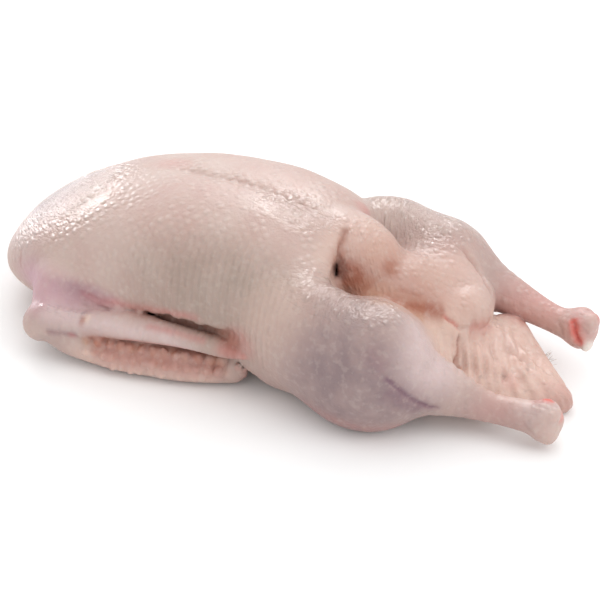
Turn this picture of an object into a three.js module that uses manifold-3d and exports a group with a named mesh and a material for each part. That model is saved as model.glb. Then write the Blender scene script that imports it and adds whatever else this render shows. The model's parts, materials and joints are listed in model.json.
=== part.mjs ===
// Whole raw wild duck, plucked and drawn, with its wings folded at its sides.
// It lies on its back: breast up (+Z), tail towards +X, its right side towards -Y.
// Millimetres. The origin is on the resting plane, under the middle of the duck's box.
//
// The body is one solid. It is described as a field of distances: rounded forms
// are joined and cut with soft edges, and the skin is the surface where the field is zero.

import * as THREE from 'three';
import { mergeVertices } from 'three/addons/utils/BufferGeometryUtils.js';
import Module from 'manifold-3d';

// ---------------------------------------------------------------- driving sizes

const SKIN_CELL = 5.4;                        // size of one facet of the skin
const FIELD_LOW = [-164, -86, -9];            // the space that the field fills
const FIELD_HIGH = [166, 86, 100];
const FAR_AWAY = 60;                          // distance given to empty space
const HAIR = 0.02;                            // depth given to a gap that is filled

const RIGHT = -1;                             // side of the body, as the sign of Y
const LEFT = 1;

// Profiles of the trunk: knots of [x, value], neck end first.
const BREAST_LINE = [[-149, 29], [-139, 43.5], [-128, 52.5], [-108, 65], [-80, 77], [-45, 83.5],
  [-10, 84.5], [10, 81.5], [29, 73.5], [33, 69], [36, 60], [38, 42]];
const HALF_WIDTH = [[-149, 7], [-145.5, 20], [-139, 31], [-128, 39], [-108, 46], [-80, 51],
  [-45, 54], [-10, 54], [10, 52], [29, 47], [33, 42], [36, 34], [38, 18]];
const WIDEST_LEVEL = [[-149, 23], [-128, 29], [-80, 36], [-10, 39], [29, 38], [38, 30]];
const BACK_LINE = [[-149, 17], [-139, 8], [-108, 2], [-80, 0], [-45, -2], [33, -2], [38, 0]];
const ROUNDNESS = [[-149, 2], [-108, 2.15], [-10, 2.4], [29, 2.3], [38, 2]];   // of the breast's section
const BACK_ROUNDNESS = 2;

const KEEL_GROOVE = { depth: 3.5, halfWidth: 4, start: -62, end: 22, fade: 12, level: 50 };

const THIGH_BULGE = { x: 36, y: 43, z: 36, radii: [34, 22, 29] };
const RIGHT_THIGH_END = { x: 62.5, y: 43, z: 32, radii: [26.5, 24, 31] };
const LEFT_THIGH_END = { x: 62.5, y: 42.5, z: 31.5, radii: [28, 24, 29.5] };
const THIGH_ROOT = { x: 18, y: 40, z: 20, radii: [22, 12, 16] };
const RIGHT_THIGH_SAG = { x: 56, y: 45, z: 19, radii: [30, 20, 19] };

const LEGS = [
  { side: RIGHT, calf: [92, 34.5, 21.5], shin: [112, 30.5, 15.6], ankle: [140, 27, 13],
    calfRadius: 12.8, shinRadius: 7.8, ankleRadius: 8.2, knuckle: [7.5, 9.5, 10.3] },
  { side: LEFT, calf: [88, 43.5, 30.5], shin: [108, 41.5, 26.3], ankle: [135, 37, 23],
    calfRadius: 12.2, shinRadius: 8.2, ankleRadius: 9.2, knuckle: [8, 9.5, 11] },
];
const KNEE = { x: 64, y: 45, z: 30, radius: 22 };
const SHANK = { x: 124, spread: 1.5, lift: 0.8, radius: 7.2 };

// Rows of [x, y, z, radius] along soft rolls of flesh and skin.
const BREAST_POCKET = [[43, -27, 62, 7.5], [42, -20, 62, 9.5], [42, -12, 64, 9.5], [43, -2, 72, 8]];
const BELLY = [[24, 4, 56, 21.5], [35, 3.5, 52, 21.5], [43, 3, 44.5, 19], [58, 4, 34, 20.5],
  [74, 3, 28, 19], [84, 2, 18, 12]];
const PELVIS = { x: 56, y: 0, z: 20, radii: [37, 36, 19.8] };
const INNER_LEFT_THIGH = { x: 68, y: 24, z: 33, radii: [26, 19, 21], pitch: 8 };
const BELLY_REAR = { x: 61, y: 6, z: 44.5, radii: [14, 17, 12], pitch: 20 };
const VENT_LOBE = [[79, 9, 34.5, 11], [87, 13.5, 33.5, 12], [85, 24, 33, 12]];
const RIGHT_LEG_WEB = [[58, -28, 36, 18], [72, -25, 32, 14], [79, -20, 28, 8.5]];
const CREASE = { soft: 9, crisp: 2.5, from: 76, to: 90 };   // blend of the thigh's and web's rolls, along X

// Leaves of skin and fat: three corners of [x, y, z, thickness].
const WEB_FLAP = [[72, -20, 37, 6], [86.3, -4.5, 31, 2.4], [92, -19, 20.5, 2.8]];
const TAIL_BASE = [[84, -22, 11, 10], [90, 18, 17, 11], [140, 1, 5.5, 4.8]];
const TAIL_CROWN = [[82, -3, 18.5, 14], [93, 14, 19, 10.5], [136, 2, 7, 5]];
const TAIL_LEFT_CORNER = [[88, 18, 19, 9], [104, 29.5, 19, 4.8], [140, 2, 5.5, 4.2]];
const TAIL_RIGHT_CORNER = [[84, -24, 13, 9], [102, -23, 9, 6], [140, 0, 5, 4]];
const TAIL_LEFT_RIM = [[101, 30, 19, 5.2], [108, 29.5, 19, 4.8], [117, 23.5, 16, 4.4],
  [127.5, 16, 12, 4.2], [134.5, 9, 8.5, 4.4], [140.5, 1, 6, 4.4]];

// The wing and the hollow above it, for the left side; the right side is its mirror image.
const FLANK_HOLLOW = [[-60, 53, 32.5, 1.2], [-48, 53.5, 31, 3.4], [-38, 54, 30.5, 5.2], [-18, 54, 31, 5.2],
  [-8, 54.5, 32.5, 4.2], [2, 57, 36.5, 2.6], [12, 60.5, 41.5, 1.6]];
const UPPER_ARM = [[-100, 36, 26, 15], [-60, 41, 18, 9], [-18, 38, 12, 8]];
const FOREARM = [[-97, 59, 17.5, 8.4], [-86, 58, 12, 8.6], [-70, 56.5, 9, 8.4], [-55, 55, 8.4, 8],
  [-29, 50.5, 8.4, 8], [-8, 43.5, 8, 6.4]];
const QUILL_BAND = [[-82, 56.5, 14, 6.2], [-55, 54, 14.5, 6.8], [-29, 49.5, 14.5, 6.6],
  [-9, 42.5, 12.5, 5.4]];
const HAND = [[-102, 61, 18.5, 8.8], [-84, 60, 21.5, 6.4], [-64, 59, 24.6, 4.8], [-37, 56, 26.2, 4.4],
  [-24, 54.8, 26.4, 4], [-10, 53.6, 25.6, 3.6], [4, 52.8, 24.8, 1.6]];
const HAND_EDGE = [[-100, 58, 22.5, 7.6], [-84, 56.5, 24, 4.8], [-64, 55.5, 28, 3.6], [-51, 54, 30, 3.6],
  [-30, 53, 28.4, 3.2], [-12, 52.3, 27.2, 2.6], [3, 52.4, 25.2, 1.2]];
const WRIST_SKIN = [[-101, 58, 19.5, 9], [-98, 44, 25, 14]];
const SHOULDER_SKIN = [[-100, 44, 33, 9], [-84, 46, 30, 8], [-68, 47, 27, 6]];

const SPANS_PER_ROW = 4;                      // how finely a roll's curve is followed
const SKIN_COLOUR = 0xd9c0b6;

// ---------------------------------------------------------------- small mathematics

const clamp = (value, low, high) => Math.min(high, Math.max(low, value));

function ease(value, low, high) {
  const t = clamp((value - low) / (high - low), 0, 1);
  return t * t * (3 - 2 * t);
}

/** Smooth curve through knots of [x, value] that never overshoots them. */
function profile(knots) {
  const last = knots.length - 1;
  const width = [];
  const slope = [];
  for (let i = 0; i < last; i += 1) {
    width.push(knots[i + 1][0] - knots[i][0]);
    slope.push((knots[i + 1][1] - knots[i][1]) / width[i]);
  }
  const tangent = [slope[0]];
  for (let i = 1; i < last; i += 1) {
    const before = 2 * width[i] + width[i - 1];
    const after = width[i] + 2 * width[i - 1];
    const turns = slope[i - 1] * slope[i] <= 0;
    tangent.push(turns ? 0 : (before + after) / (before / slope[i - 1] + after / slope[i]));
  }
  tangent.push(slope[last - 1]);
  return (x) => {
    let i = 0;
    while (i < last - 1 && x > knots[i + 1][0]) i += 1;
    const t = clamp((x - knots[i][0]) / width[i], 0, 1);
    const flat = t * t * (3 - 2 * t);
    const lead = t * (1 - t) * (1 - t) * width[i];
    const trail = t * t * (t - 1) * width[i];
    return knots[i][1] * (1 - flat) + knots[i + 1][1] * flat + tangent[i] * lead + tangent[i + 1] * trail;
  };
}

/** Rows of points along a smooth curve through the given rows. */
function rowsAlong(rows) {
  const curve = (columns) => new THREE.CatmullRomCurve3(
    rows.map((row) => new THREE.Vector3(...columns.map((c) => row[c] ?? 0))), false, 'catmullrom', 0.5);
  const place = curve([0, 1, 2]);
  const size = curve([3, 4, 5]);
  const count = (rows.length - 1) * SPANS_PER_ROW;
  const result = [];
  for (let i = 0; i <= count; i += 1) {
    const at = place.getPoint(i / count);
    result.push([at.x, at.y, at.z, Math.max(size.getPoint(i / count).x, 0.3)]);
  }
  return result;
}

const mirrored = (rows, side) => rows.map(([x, y, z, size]) => [x, y * side, z, size]);

// ---------------------------------------------------------------- rounded forms as distances

/** Tapered round roll along rows of [x, y, z, radius]. */
function roll(rows) {
  const along = rowsAlong(rows);
  return (x, y, z) => {
    let nearest = FAR_AWAY;
    for (let i = 1; i < along.length; i += 1) {
      const [ax, ay, az, ar] = along[i - 1];
      const [bx, by, bz, br] = along[i];
      const dx = bx - ax;
      const dy = by - ay;
      const dz = bz - az;
      const part = ((x - ax) * dx + (y - ay) * dy + (z - az) * dz) / (dx * dx + dy * dy + dz * dz);
      const t = clamp(part, 0, 1);
      const gap = Math.hypot(x - ax - dx * t, y - ay - dy * t, z - az - dz * t);
      nearest = Math.min(nearest, gap - ar - (br - ar) * t);
    }
    return nearest;
  };
}

/** Ellipsoid, turned by yaw about Z and then pitched about its own Y, in degrees. */
function egg([cx, cy, cz], [rx, ry, rz], yaw = 0, pitch = 0) {
  const order = new THREE.Euler(0, THREE.MathUtils.degToRad(pitch), THREE.MathUtils.degToRad(yaw), 'ZYX');
  const inward = new THREE.Quaternion().setFromEuler(order).invert();
  const point = new THREE.Vector3();
  return (x, y, z) => {
    point.set(x - cx, y - cy, z - cz).applyQuaternion(inward);
    const reach = Math.hypot(point.x / rx, point.y / ry, point.z / rz);
    const steepness = Math.hypot(point.x / (rx * rx), point.y / (ry * ry), point.z / (rz * rz));
    if (steepness < 1e-6) return -Math.min(rx, ry, rz);
    return reach * (reach - 1) / steepness;
  };
}

/** Rounded three-cornered leaf; each corner is [x, y, z, thickness]. */
function leaf(corners) {
  const points = corners.map(([x, y, z]) => new THREE.Vector3(x, y, z));
  const triangle = new THREE.Triangle(...points);
  const here = new THREE.Vector3();
  const foot = new THREE.Vector3();
  const share = new THREE.Vector3();
  return (x, y, z) => {
    here.set(x, y, z);
    triangle.closestPointToPoint(here, foot);
    triangle.getBarycoord(foot, share);
    const thickness = share.x * corners[0][3] + share.y * corners[1][3] + share.z * corners[2][3];
    return here.distanceTo(foot) - thickness;
  };
}

/** The trunk: sections along X that are round below and fuller above, with a groove over the keel. */
function trunk() {
  const top = profile(BREAST_LINE);
  const half = profile(HALF_WIDTH);
  const level = profile(WIDEST_LEVEL);
  const back = profile(BACK_LINE);
  const power = profile(ROUNDNESS);
  const neckEnd = HALF_WIDTH[0][0];
  const rearEnd = HALF_WIDTH[HALF_WIDTH.length - 1][0];
  const groove = KEEL_GROOVE;
  return (x, y, z) => {
    const at = clamp(x, neckEnd, rearEnd);
    const rise = z - level(at);
    const above = rise > 0;
    const height = above ? top(at) - level(at) : level(at) - back(at);
    const bend = above ? power(at) : BACK_ROUNDNESS;
    const reach = ((Math.abs(y) / half(at)) ** bend + (Math.abs(rise) / height) ** bend) ** (1 / bend);
    const across = reach < 1e-3 ? -Math.min(half(at), height) : Math.hypot(y, rise) * (1 - 1 / reach);
    const beyond = x - at;
    const distance = beyond === 0 ? across : Math.hypot(Math.max(across, 0), beyond);
    const along = ease(x, groove.start - groove.fade, groove.start + groove.fade)
      * (1 - ease(x, groove.end - groove.fade, groove.end + groove.fade));
    const onBreast = ease(z, groove.level - groove.fade, groove.level + groove.fade);
    return distance + groove.depth * Math.exp(-((y / groove.halfWidth) ** 2)) * along * onBreast;
  };
}

/** Union of two distances with a rounded inner edge. */
function softJoin(a, b, blend) {
  const share = clamp(0.5 + 0.5 * (b - a) / blend, 0, 1);
  return b * (1 - share) + a * share - blend * share * (1 - share);
}

/** Several forms joined softly to the first of them, each as [form, blend]. */
function cluster(first, others) {
  return (x, y, z) => others.reduce(
    (total, [form, blend]) => softJoin(total, form(x, y, z), blend),
    first(x, y, z),
  );
}

// ---------------------------------------------------------------- the duck, form by form

/** One step of the body: a form that is joined on, or cut away, with a soft edge. */
const join = (form, blend) => ({ form, blend, cut: false });
const cutAway = (form, blend) => ({ form, blend, cut: true });

function thighs() {
  const steps = [];
  for (const side of [RIGHT, LEFT]) {
    const sized = ({ x, y, z, radii }, yaw, pitch) => egg([x, y * side, z], radii, yaw * side, pitch);
    steps.push(join(sized(THIGH_BULGE, 5, 0), side === RIGHT ? 14 : 4));
    steps.push(join(sized(side === RIGHT ? RIGHT_THIGH_END : LEFT_THIGH_END, -8, 10), 6));
    steps.push(join(sized(THIGH_ROOT, 5, 0), 8));
  }
  const sag = RIGHT_THIGH_SAG;
  steps.push(join(egg([sag.x, sag.y * RIGHT, sag.z], sag.radii, 5 * RIGHT), 8));
  return steps;
}

function drumsticks() {
  const steps = [];
  for (const leg of LEGS) {
    const [ankleX, ankleY, ankleZ] = leg.ankle;
    const rows = [
      [KNEE.x, KNEE.y, KNEE.z, KNEE.radius],
      [...leg.calf, leg.calfRadius],
      [...leg.shin, leg.shinRadius],
      [SHANK.x, ankleY + SHANK.spread, ankleZ + SHANK.lift, SHANK.radius],
      [...leg.ankle, leg.ankleRadius],
    ];
    steps.push(join(roll(mirrored(rows, leg.side)), 7));
    steps.push(join(egg([ankleX + 2, ankleY * leg.side, ankleZ], leg.knuckle), 3));
  }
  return steps;
}

function belly() {
  const crease = (x) => CREASE.soft + (CREASE.crisp - CREASE.soft) * ease(x, CREASE.from, CREASE.to);
  const inner = INNER_LEFT_THIGH;
  const rear = BELLY_REAR;
  return [
    cutAway(roll(BREAST_POCKET), 1.5),
    join(roll(BELLY), 3),
    join(egg([PELVIS.x, PELVIS.y, PELVIS.z], PELVIS.radii), 6),
    join(egg([inner.x, inner.y, inner.z], inner.radii, 0, inner.pitch), crease),
    join(roll(RIGHT_LEG_WEB), crease),
    join(roll(VENT_LOBE), 3),
    join(egg([rear.x, rear.y, rear.z], rear.radii, 0, rear.pitch), 8),
    join(leaf(WEB_FLAP), 1.5),
  ];
}

function tail() {
  const around = [[leaf(TAIL_CROWN), 5], [leaf(TAIL_LEFT_CORNER), 4], [leaf(TAIL_RIGHT_CORNER), 4],
    [roll(TAIL_LEFT_RIM), 3]];
  return [join(cluster(leaf(TAIL_BASE), around), 1.5)];
}

function wings() {
  const steps = [];
  for (const side of [RIGHT, LEFT]) {
    steps.push(cutAway(roll(mirrored(FLANK_HOLLOW, side)), 1.5));
    steps.push(join(roll(mirrored(UPPER_ARM, side)), 6));
    steps.push(join(roll(mirrored(WRIST_SKIN, side)), 9));
    steps.push(join(roll(mirrored(SHOULDER_SKIN, side)), 9));
    steps.push(join(cluster(roll(mirrored(FOREARM, side)), [[roll(mirrored(QUILL_BAND, side)), 4]]), 1.5));
    steps.push(join(cluster(roll(mirrored(HAND, side)), [[roll(mirrored(HAND_EDGE, side)), 4]]), 1));
  }
  return steps;
}

/** Distance from the skin at a point: below zero inside the duck. */
function duckField() {
  const steps = [join(trunk(), 1), ...thighs(), ...drumsticks(), ...belly(), ...tail(), ...wings()];
  return (x, y, z) => {
    let distance = FAR_AWAY;
    for (const { form, blend, cut } of steps) {
      const soft = typeof blend === 'function' ? blend(x) : blend;
      const next = form(x, y, z);
      distance = cut ? -softJoin(-distance, next, soft) : softJoin(distance, next, soft);
    }
    return distance;
  };
}

// ---------------------------------------------------------------- from the field to a skin

/** The field sampled on a regular grid. */
function sampleGrid(field) {
  const count = FIELD_LOW.map((low, axis) => Math.ceil((FIELD_HIGH[axis] - low) / SKIN_CELL) + 1);
  const [nx, ny, nz] = count;
  const index = (i, j, k) => (i * ny + j) * nz + k;
  const place = (i, j, k) => [i, j, k].map((step, axis) => FIELD_LOW[axis] + step * SKIN_CELL);
  const values = new Float64Array(nx * ny * nz);
  for (let i = 0; i < nx; i += 1) {
    for (let j = 0; j < ny; j += 1) {
      for (let k = 0; k < nz; k += 1) values[index(i, j, k)] = field(...place(i, j, k));
    }
  }
  return { count, index, place, values };
}

const NEIGHBOURS = [[1, 0, 0], [-1, 0, 0], [0, 1, 0], [0, -1, 0], [0, 0, 1], [0, 0, -1]];

/** Closes any pocket of empty points that the open space around the duck doesn't reach. */
function fillPockets({ count, index, values }) {
  const reached = new Uint8Array(values.length);
  const queue = [[0, 0, 0]];
  reached[0] = 1;
  while (queue.length > 0) {
    const here = queue.pop();
    for (const step of NEIGHBOURS) {
      const next = here.map((value, axis) => value + step[axis]);
      const inGrid = next.every((value, axis) => value >= 0 && value < count[axis]);
      if (inGrid && !reached[index(...next)] && values[index(...next)] > 0) {
        reached[index(...next)] = 1;
        queue.push(next);
      }
    }
  }
  values.forEach((value, at) => {
    if (value > 0 && !reached[at]) values[at] = -SKIN_CELL;
  });
}

/** Where the skin would touch itself across one grid square, the emptiest gap is filled. */
function separateSheets({ count, index, values }) {
  const around = [[0, 0], [1, 0], [1, 1], [0, 1]];
  const squareCorners = (cell, one, two) => around.map(([u, v]) => {
    const at = [...cell];
    at[one] += u;
    at[two] += v;
    return index(...at);
  });
  const fillSquare = (corners) => {
    const inside = corners.map((at) => values[at] < 0);
    const crossed = inside[0] === inside[2] && inside[1] === inside[3] && inside[0] !== inside[1];
    if (!crossed) return false;
    const gaps = corners.filter((at) => values[at] >= 0);
    const narrowest = values[gaps[0]] < values[gaps[1]] ? gaps[0] : gaps[1];
    values[narrowest] = -HAIR;
    return true;
  };
  let filled = true;
  while (filled) {
    filled = false;
    for (let i = 0; i < count[0] - 1; i += 1) {
      for (let j = 0; j < count[1] - 1; j += 1) {
        for (let k = 0; k < count[2] - 1; k += 1) {
          for (let axis = 0; axis < 3; axis += 1) {
            const corners = squareCorners([i, j, k], (axis + 1) % 3, (axis + 2) % 3);
            if (fillSquare(corners)) filled = true;
          }
        }
      }
    }
  }
}

/** Skin of the sampled field: one point in each cell that the skin crosses, joined by squares. */
function skinOf(grid) {
  const { count, index, place, values } = grid;
  const [nx, ny, nz] = count;
  const pointOf = new Int32Array(values.length).fill(-1);
  const positions = [];
  const triangles = [];
  const cellCorners = [];
  for (let corner = 0; corner < 8; corner += 1) {
    cellCorners.push([corner & 1, (corner >> 1) & 1, corner >> 2]);
  }
  const cellEdges = [];
  for (let a = 0; a < 8; a += 1) {
    for (const bit of [1, 2, 4]) if (!(a & bit)) cellEdges.push([a, a | bit]);
  }

  const addPoint = (i, j, k) => {
    const value = cellCorners.map(([u, v, w]) => values[index(i + u, j + v, k + w)]);
    const sum = [0, 0, 0];
    let crossings = 0;
    for (const [a, b] of cellEdges) {
      if ((value[a] < 0) !== (value[b] < 0)) {
        const t = value[a] / (value[a] - value[b]);
        for (let axis = 0; axis < 3; axis += 1) {
          sum[axis] += cellCorners[a][axis] * (1 - t) + cellCorners[b][axis] * t;
        }
        crossings += 1;
      }
    }
    if (crossings === 0) return;
    pointOf[index(i, j, k)] = positions.length / 3;
    positions.push(...place(i, j, k).map((low, axis) => low + (sum[axis] / crossings) * SKIN_CELL));
  };
  for (let i = 0; i < nx - 1; i += 1) {
    for (let j = 0; j < ny - 1; j += 1) {
      for (let k = 0; k < nz - 1; k += 1) addPoint(i, j, k);
    }
  }

  const addSquare = (at, axis) => {
    const next = [...at];
    next[axis] += 1;
    const from = values[index(...at)] < 0;
    if (from === values[index(...next)] < 0) return;
    const one = (axis + 1) % 3;
    const two = (axis + 2) % 3;
    const ring = [[0, 0], [1, 0], [1, 1], [0, 1]].map(([u, v]) => {
      const cell = [...at];
      cell[one] -= u;
      cell[two] -= v;
      return pointOf[index(...cell)];
    });
    const [a, b, c, d] = from ? ring : [...ring].reverse();
    triangles.push(a, b, c, a, c, d);
  };
  for (let i = 1; i < nx - 1; i += 1) {
    for (let j = 1; j < ny - 1; j += 1) {
      for (let k = 1; k < nz - 1; k += 1) {
        for (let axis = 0; axis < 3; axis += 1) addSquare([i, j, k], axis);
      }
    }
  }

  const geometry = new THREE.BufferGeometry();
  geometry.setAttribute('position', new THREE.Float32BufferAttribute(positions, 3));
  geometry.setIndex(triangles);
  return geometry;
}

// ---------------------------------------------------------------- solid with its resting face

const wasm = await Module();
wasm.setup();

/** A closed geometry as a manifold solid. */
function solidFrom(geometry) {
  const bare = geometry.clone();
  bare.deleteAttribute('normal');
  bare.deleteAttribute('uv');
  const merged = mergeVertices(bare, 1e-4);
  return new wasm.Manifold(new wasm.Mesh({
    numProp: 3,
    vertProperties: Float32Array.from(merged.getAttribute('position').array),
    triVerts: Uint32Array.from(merged.getIndex().array),
  }));
}

/** A manifold solid as a geometry that three.js can draw. */
function geometryFrom(solid) {
  const mesh = solid.getMesh();
  const geometry = new THREE.BufferGeometry();
  geometry.setAttribute('position', new THREE.Float32BufferAttribute(mesh.vertProperties, 3));
  geometry.setIndex([...mesh.triVerts]);
  geometry.computeVertexNormals();
  return geometry;
}

/** The duck's skin, cut flat where its back and thighs rest on the table. */
function duckGeometry() {
  const grid = sampleGrid(duckField());
  fillPockets(grid);
  separateSheets(grid);
  const tall = FIELD_HIGH[2] * 2;
  const aboveTable = new THREE.BoxGeometry(FIELD_HIGH[0] * 3, FIELD_HIGH[1] * 3, tall);
  aboveTable.translate(0, 0, tall / 2);
  const resting = solidFrom(skinOf(grid)).intersect(solidFrom(aboveTable));
  const geometry = geometryFrom(resting);
  geometry.computeBoundingBox();
  const { min, max } = geometry.boundingBox;
  geometry.translate(-(min.x + max.x) / 2, -(min.y + max.y) / 2, 0);
  return geometry;
}

const skinFinish = new THREE.MeshStandardMaterial({ color: SKIN_COLOUR, roughness: 0.45, metalness: 0 });
const duck = new THREE.Mesh(duckGeometry(), skinFinish);
duck.name = 'duck';

const wildDuck = new THREE.Group();
wildDuck.add(duck);

export default wildDuck;
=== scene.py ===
"""Looks of a whole raw wild duck, plucked and drawn, lying on its back.

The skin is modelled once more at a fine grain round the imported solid: rounded forms are
joined in a field of distances, the skin is the surface where the field is zero, and folds,
quill bumps and cuts are then pressed into it. The bird's sizes are in millimetres, and the
piece is handed over in metres. Finishes, lamps and camera are in metres throughout.
"""

import json
import logging
import math
from dataclasses import dataclass, field
from enum import Enum
from typing import Callable, Iterable, Optional, Sequence, Union

import bpy
import numpy as np
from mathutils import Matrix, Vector

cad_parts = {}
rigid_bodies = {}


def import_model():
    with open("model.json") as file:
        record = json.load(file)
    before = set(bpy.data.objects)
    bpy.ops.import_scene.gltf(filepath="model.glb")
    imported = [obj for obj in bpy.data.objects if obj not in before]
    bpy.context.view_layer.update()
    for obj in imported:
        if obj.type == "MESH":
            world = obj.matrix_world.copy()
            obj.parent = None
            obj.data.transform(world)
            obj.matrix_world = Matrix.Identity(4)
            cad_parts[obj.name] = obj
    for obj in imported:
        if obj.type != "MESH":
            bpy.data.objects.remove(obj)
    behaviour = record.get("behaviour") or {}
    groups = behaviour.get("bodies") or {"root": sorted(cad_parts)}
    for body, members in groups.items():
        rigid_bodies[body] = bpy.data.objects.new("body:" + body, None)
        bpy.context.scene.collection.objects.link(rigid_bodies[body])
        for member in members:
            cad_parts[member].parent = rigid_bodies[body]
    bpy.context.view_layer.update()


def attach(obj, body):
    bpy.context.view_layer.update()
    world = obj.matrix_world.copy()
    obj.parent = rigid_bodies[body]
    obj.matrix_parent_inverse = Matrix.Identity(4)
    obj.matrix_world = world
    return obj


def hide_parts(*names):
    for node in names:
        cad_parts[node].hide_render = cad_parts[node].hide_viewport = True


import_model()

LOG = logging.getLogger("wild_duck")
MM = 0.001
FAR_AWAY = 40.0
OUT_OF_SIGHT = 1e9
THINNEST_ROLL = 0.3
SETTLING_REACH = 12.0
FADED_OUT = 4
LUMP_LENGTHS = (0.75, 1.4)
NODE = "duck"
SKIN_SLOT = "duck_skin"
SEATS = "seats"

Row = Sequence[float]
Blend = Union[float, Callable[[np.ndarray], np.ndarray]]
Block = tuple[tuple[slice, slice, slice], tuple[np.ndarray, np.ndarray, np.ndarray]]


class Side(Enum):
    """Side of the duck's body, as the sign of Y."""

    RIGHT = -1
    LEFT = 1


# ------------------------------------------------------------------ small mathematics


def ease(value: np.ndarray, low: float, high: float) -> np.ndarray:
    """Smooth step from 0 at low to 1 at high."""
    t = np.clip((value - low) / (high - low), 0, 1)
    return t * t * (3 - 2 * t)


def window(value: np.ndarray, low: float, high: float, fade: float) -> np.ndarray:
    """1 between low and high, fading to 0 over twice fade at each end."""
    return ease(value, low - fade, low + fade) * (1 - ease(value, high - fade, high + fade))


def soft_join(a: np.ndarray, b: np.ndarray, blend: Union[float, np.ndarray]) -> np.ndarray:
    """Union of two distances with a rounded inner edge.

    Args:
        a: first distances.
        b: second distances.
        blend: width of the rounding.

    Returns:
        The joined distances.
    """
    share = np.clip(0.5 + 0.5 * (b - a) / blend, 0, 1)
    return b * (1 - share) + a * share - blend * share * (1 - share)


def profile(knots: Sequence[Row], x: np.ndarray) -> np.ndarray:
    """Smooth curve through knots that never overshoots them.

    Args:
        knots: rows of [x, value], in rising order.
        x: where the curve is wanted.

    Returns:
        The curve's values, held level beyond its ends.
    """
    at, value = np.array(knots, float).T
    width = np.diff(at)
    slope = np.diff(value) / width
    tangent = np.empty_like(value)
    tangent[0], tangent[-1] = slope[0], slope[-1]
    before = 2 * width[1:] + width[:-1]
    after = width[1:] + 2 * width[:-1]
    turns = slope[:-1] * slope[1:] <= 0
    left, right = np.where(turns, 1, slope[:-1]), np.where(turns, 1, slope[1:])
    tangent[1:-1] = np.where(turns, 0, (before + after) / (before / left + after / right))
    i = np.clip(np.searchsorted(at, x, side="right") - 1, 0, len(at) - 2)
    t = np.clip((x - at[i]) / width[i], 0, 1)
    flat = t * t * (3 - 2 * t)
    lead = t * (1 - t) ** 2 * width[i]
    trail = t * t * (t - 1) * width[i]
    return value[i] * (1 - flat) + value[i + 1] * flat + tangent[i] * lead + tangent[i + 1] * trail


def smooth_rows(rows: Sequence[Row], spans: int = 4) -> np.ndarray:
    """Rows along a Catmull-Rom curve through the given rows.

    Args:
        rows: control rows of any width.
        spans: steps between one control row and the next.

    Returns:
        The rows of the curve.
    """
    p = np.asarray(rows, float)
    q = np.vstack([2 * p[0] - p[1], p, 2 * p[-1] - p[-2]])
    t = (np.arange(spans) / spans)[None, :, None]
    a, b, c, d = (q[i:len(q) - 3 + i, None, :] for i in range(4))
    curve = 0.5 * (2 * b + (c - a) * t + (2 * a - 5 * b + 4 * c - d) * t ** 2
                   + (3 * b - a - 3 * c + d) * t ** 3)
    return np.vstack([curve.reshape(-1, p.shape[1]), p[-1:]])


def mirrored(rows: Sequence[Row], side: Side) -> list[list[float]]:
    """Rows of [x, y, z, ...] moved to the given side."""
    return [[row[0], row[1] * side.value, *row[2:]] for row in rows]


def turned(yaw: float, pitch: float) -> np.ndarray:
    """Rotation about Z after a rotation about Y, in degrees.

    Args:
        yaw: turn about Z, in degrees.
        pitch: turn about Y, in degrees.

    Returns:
        The rotation as a matrix.
    """
    a, b = math.radians(yaw), math.radians(pitch)
    about_z = np.array([[math.cos(a), -math.sin(a), 0], [math.sin(a), math.cos(a), 0], [0, 0, 1]])
    about_y = np.array([[math.cos(b), 0, math.sin(b)], [0, 1, 0], [-math.sin(b), 0, math.cos(b)]])
    return about_z @ about_y


def nearest_on_rows(points: np.ndarray, rows: np.ndarray) -> tuple[np.ndarray, np.ndarray]:
    """Distance to a line of points, and how far along it the nearest place is.

    Args:
        points: N points.
        rows: the line's points.

    Returns:
        Distances, and places from 0 at the line's start to 1 at its end.
    """
    best = np.full(len(points), OUT_OF_SIGHT)
    place = np.zeros(len(points))
    last = len(rows) - 1
    for i in range(last):
        start, step = rows[i, :3], rows[i + 1, :3] - rows[i, :3]
        t = np.clip((points - start) @ step / (step @ step), 0, 1)
        gap = np.linalg.norm(points - start - t[:, None] * step, axis=1)
        nearer = gap < best
        best = np.where(nearer, gap, best)
        place = np.where(nearer, (i + t) / last, place)
    return best, place


# ------------------------------------------------------------------ rounded forms as distances


class Form:
    """A rounded form that gives the distance from its surface."""

    def reach(self) -> tuple[np.ndarray, np.ndarray]:
        """Lowest and highest corners of the form."""
        raise NotImplementedError

    def distance(self, x: np.ndarray, y: np.ndarray, z: np.ndarray) -> np.ndarray:
        """Distance at every point of a block, below zero inside the form."""
        raise NotImplementedError


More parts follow.
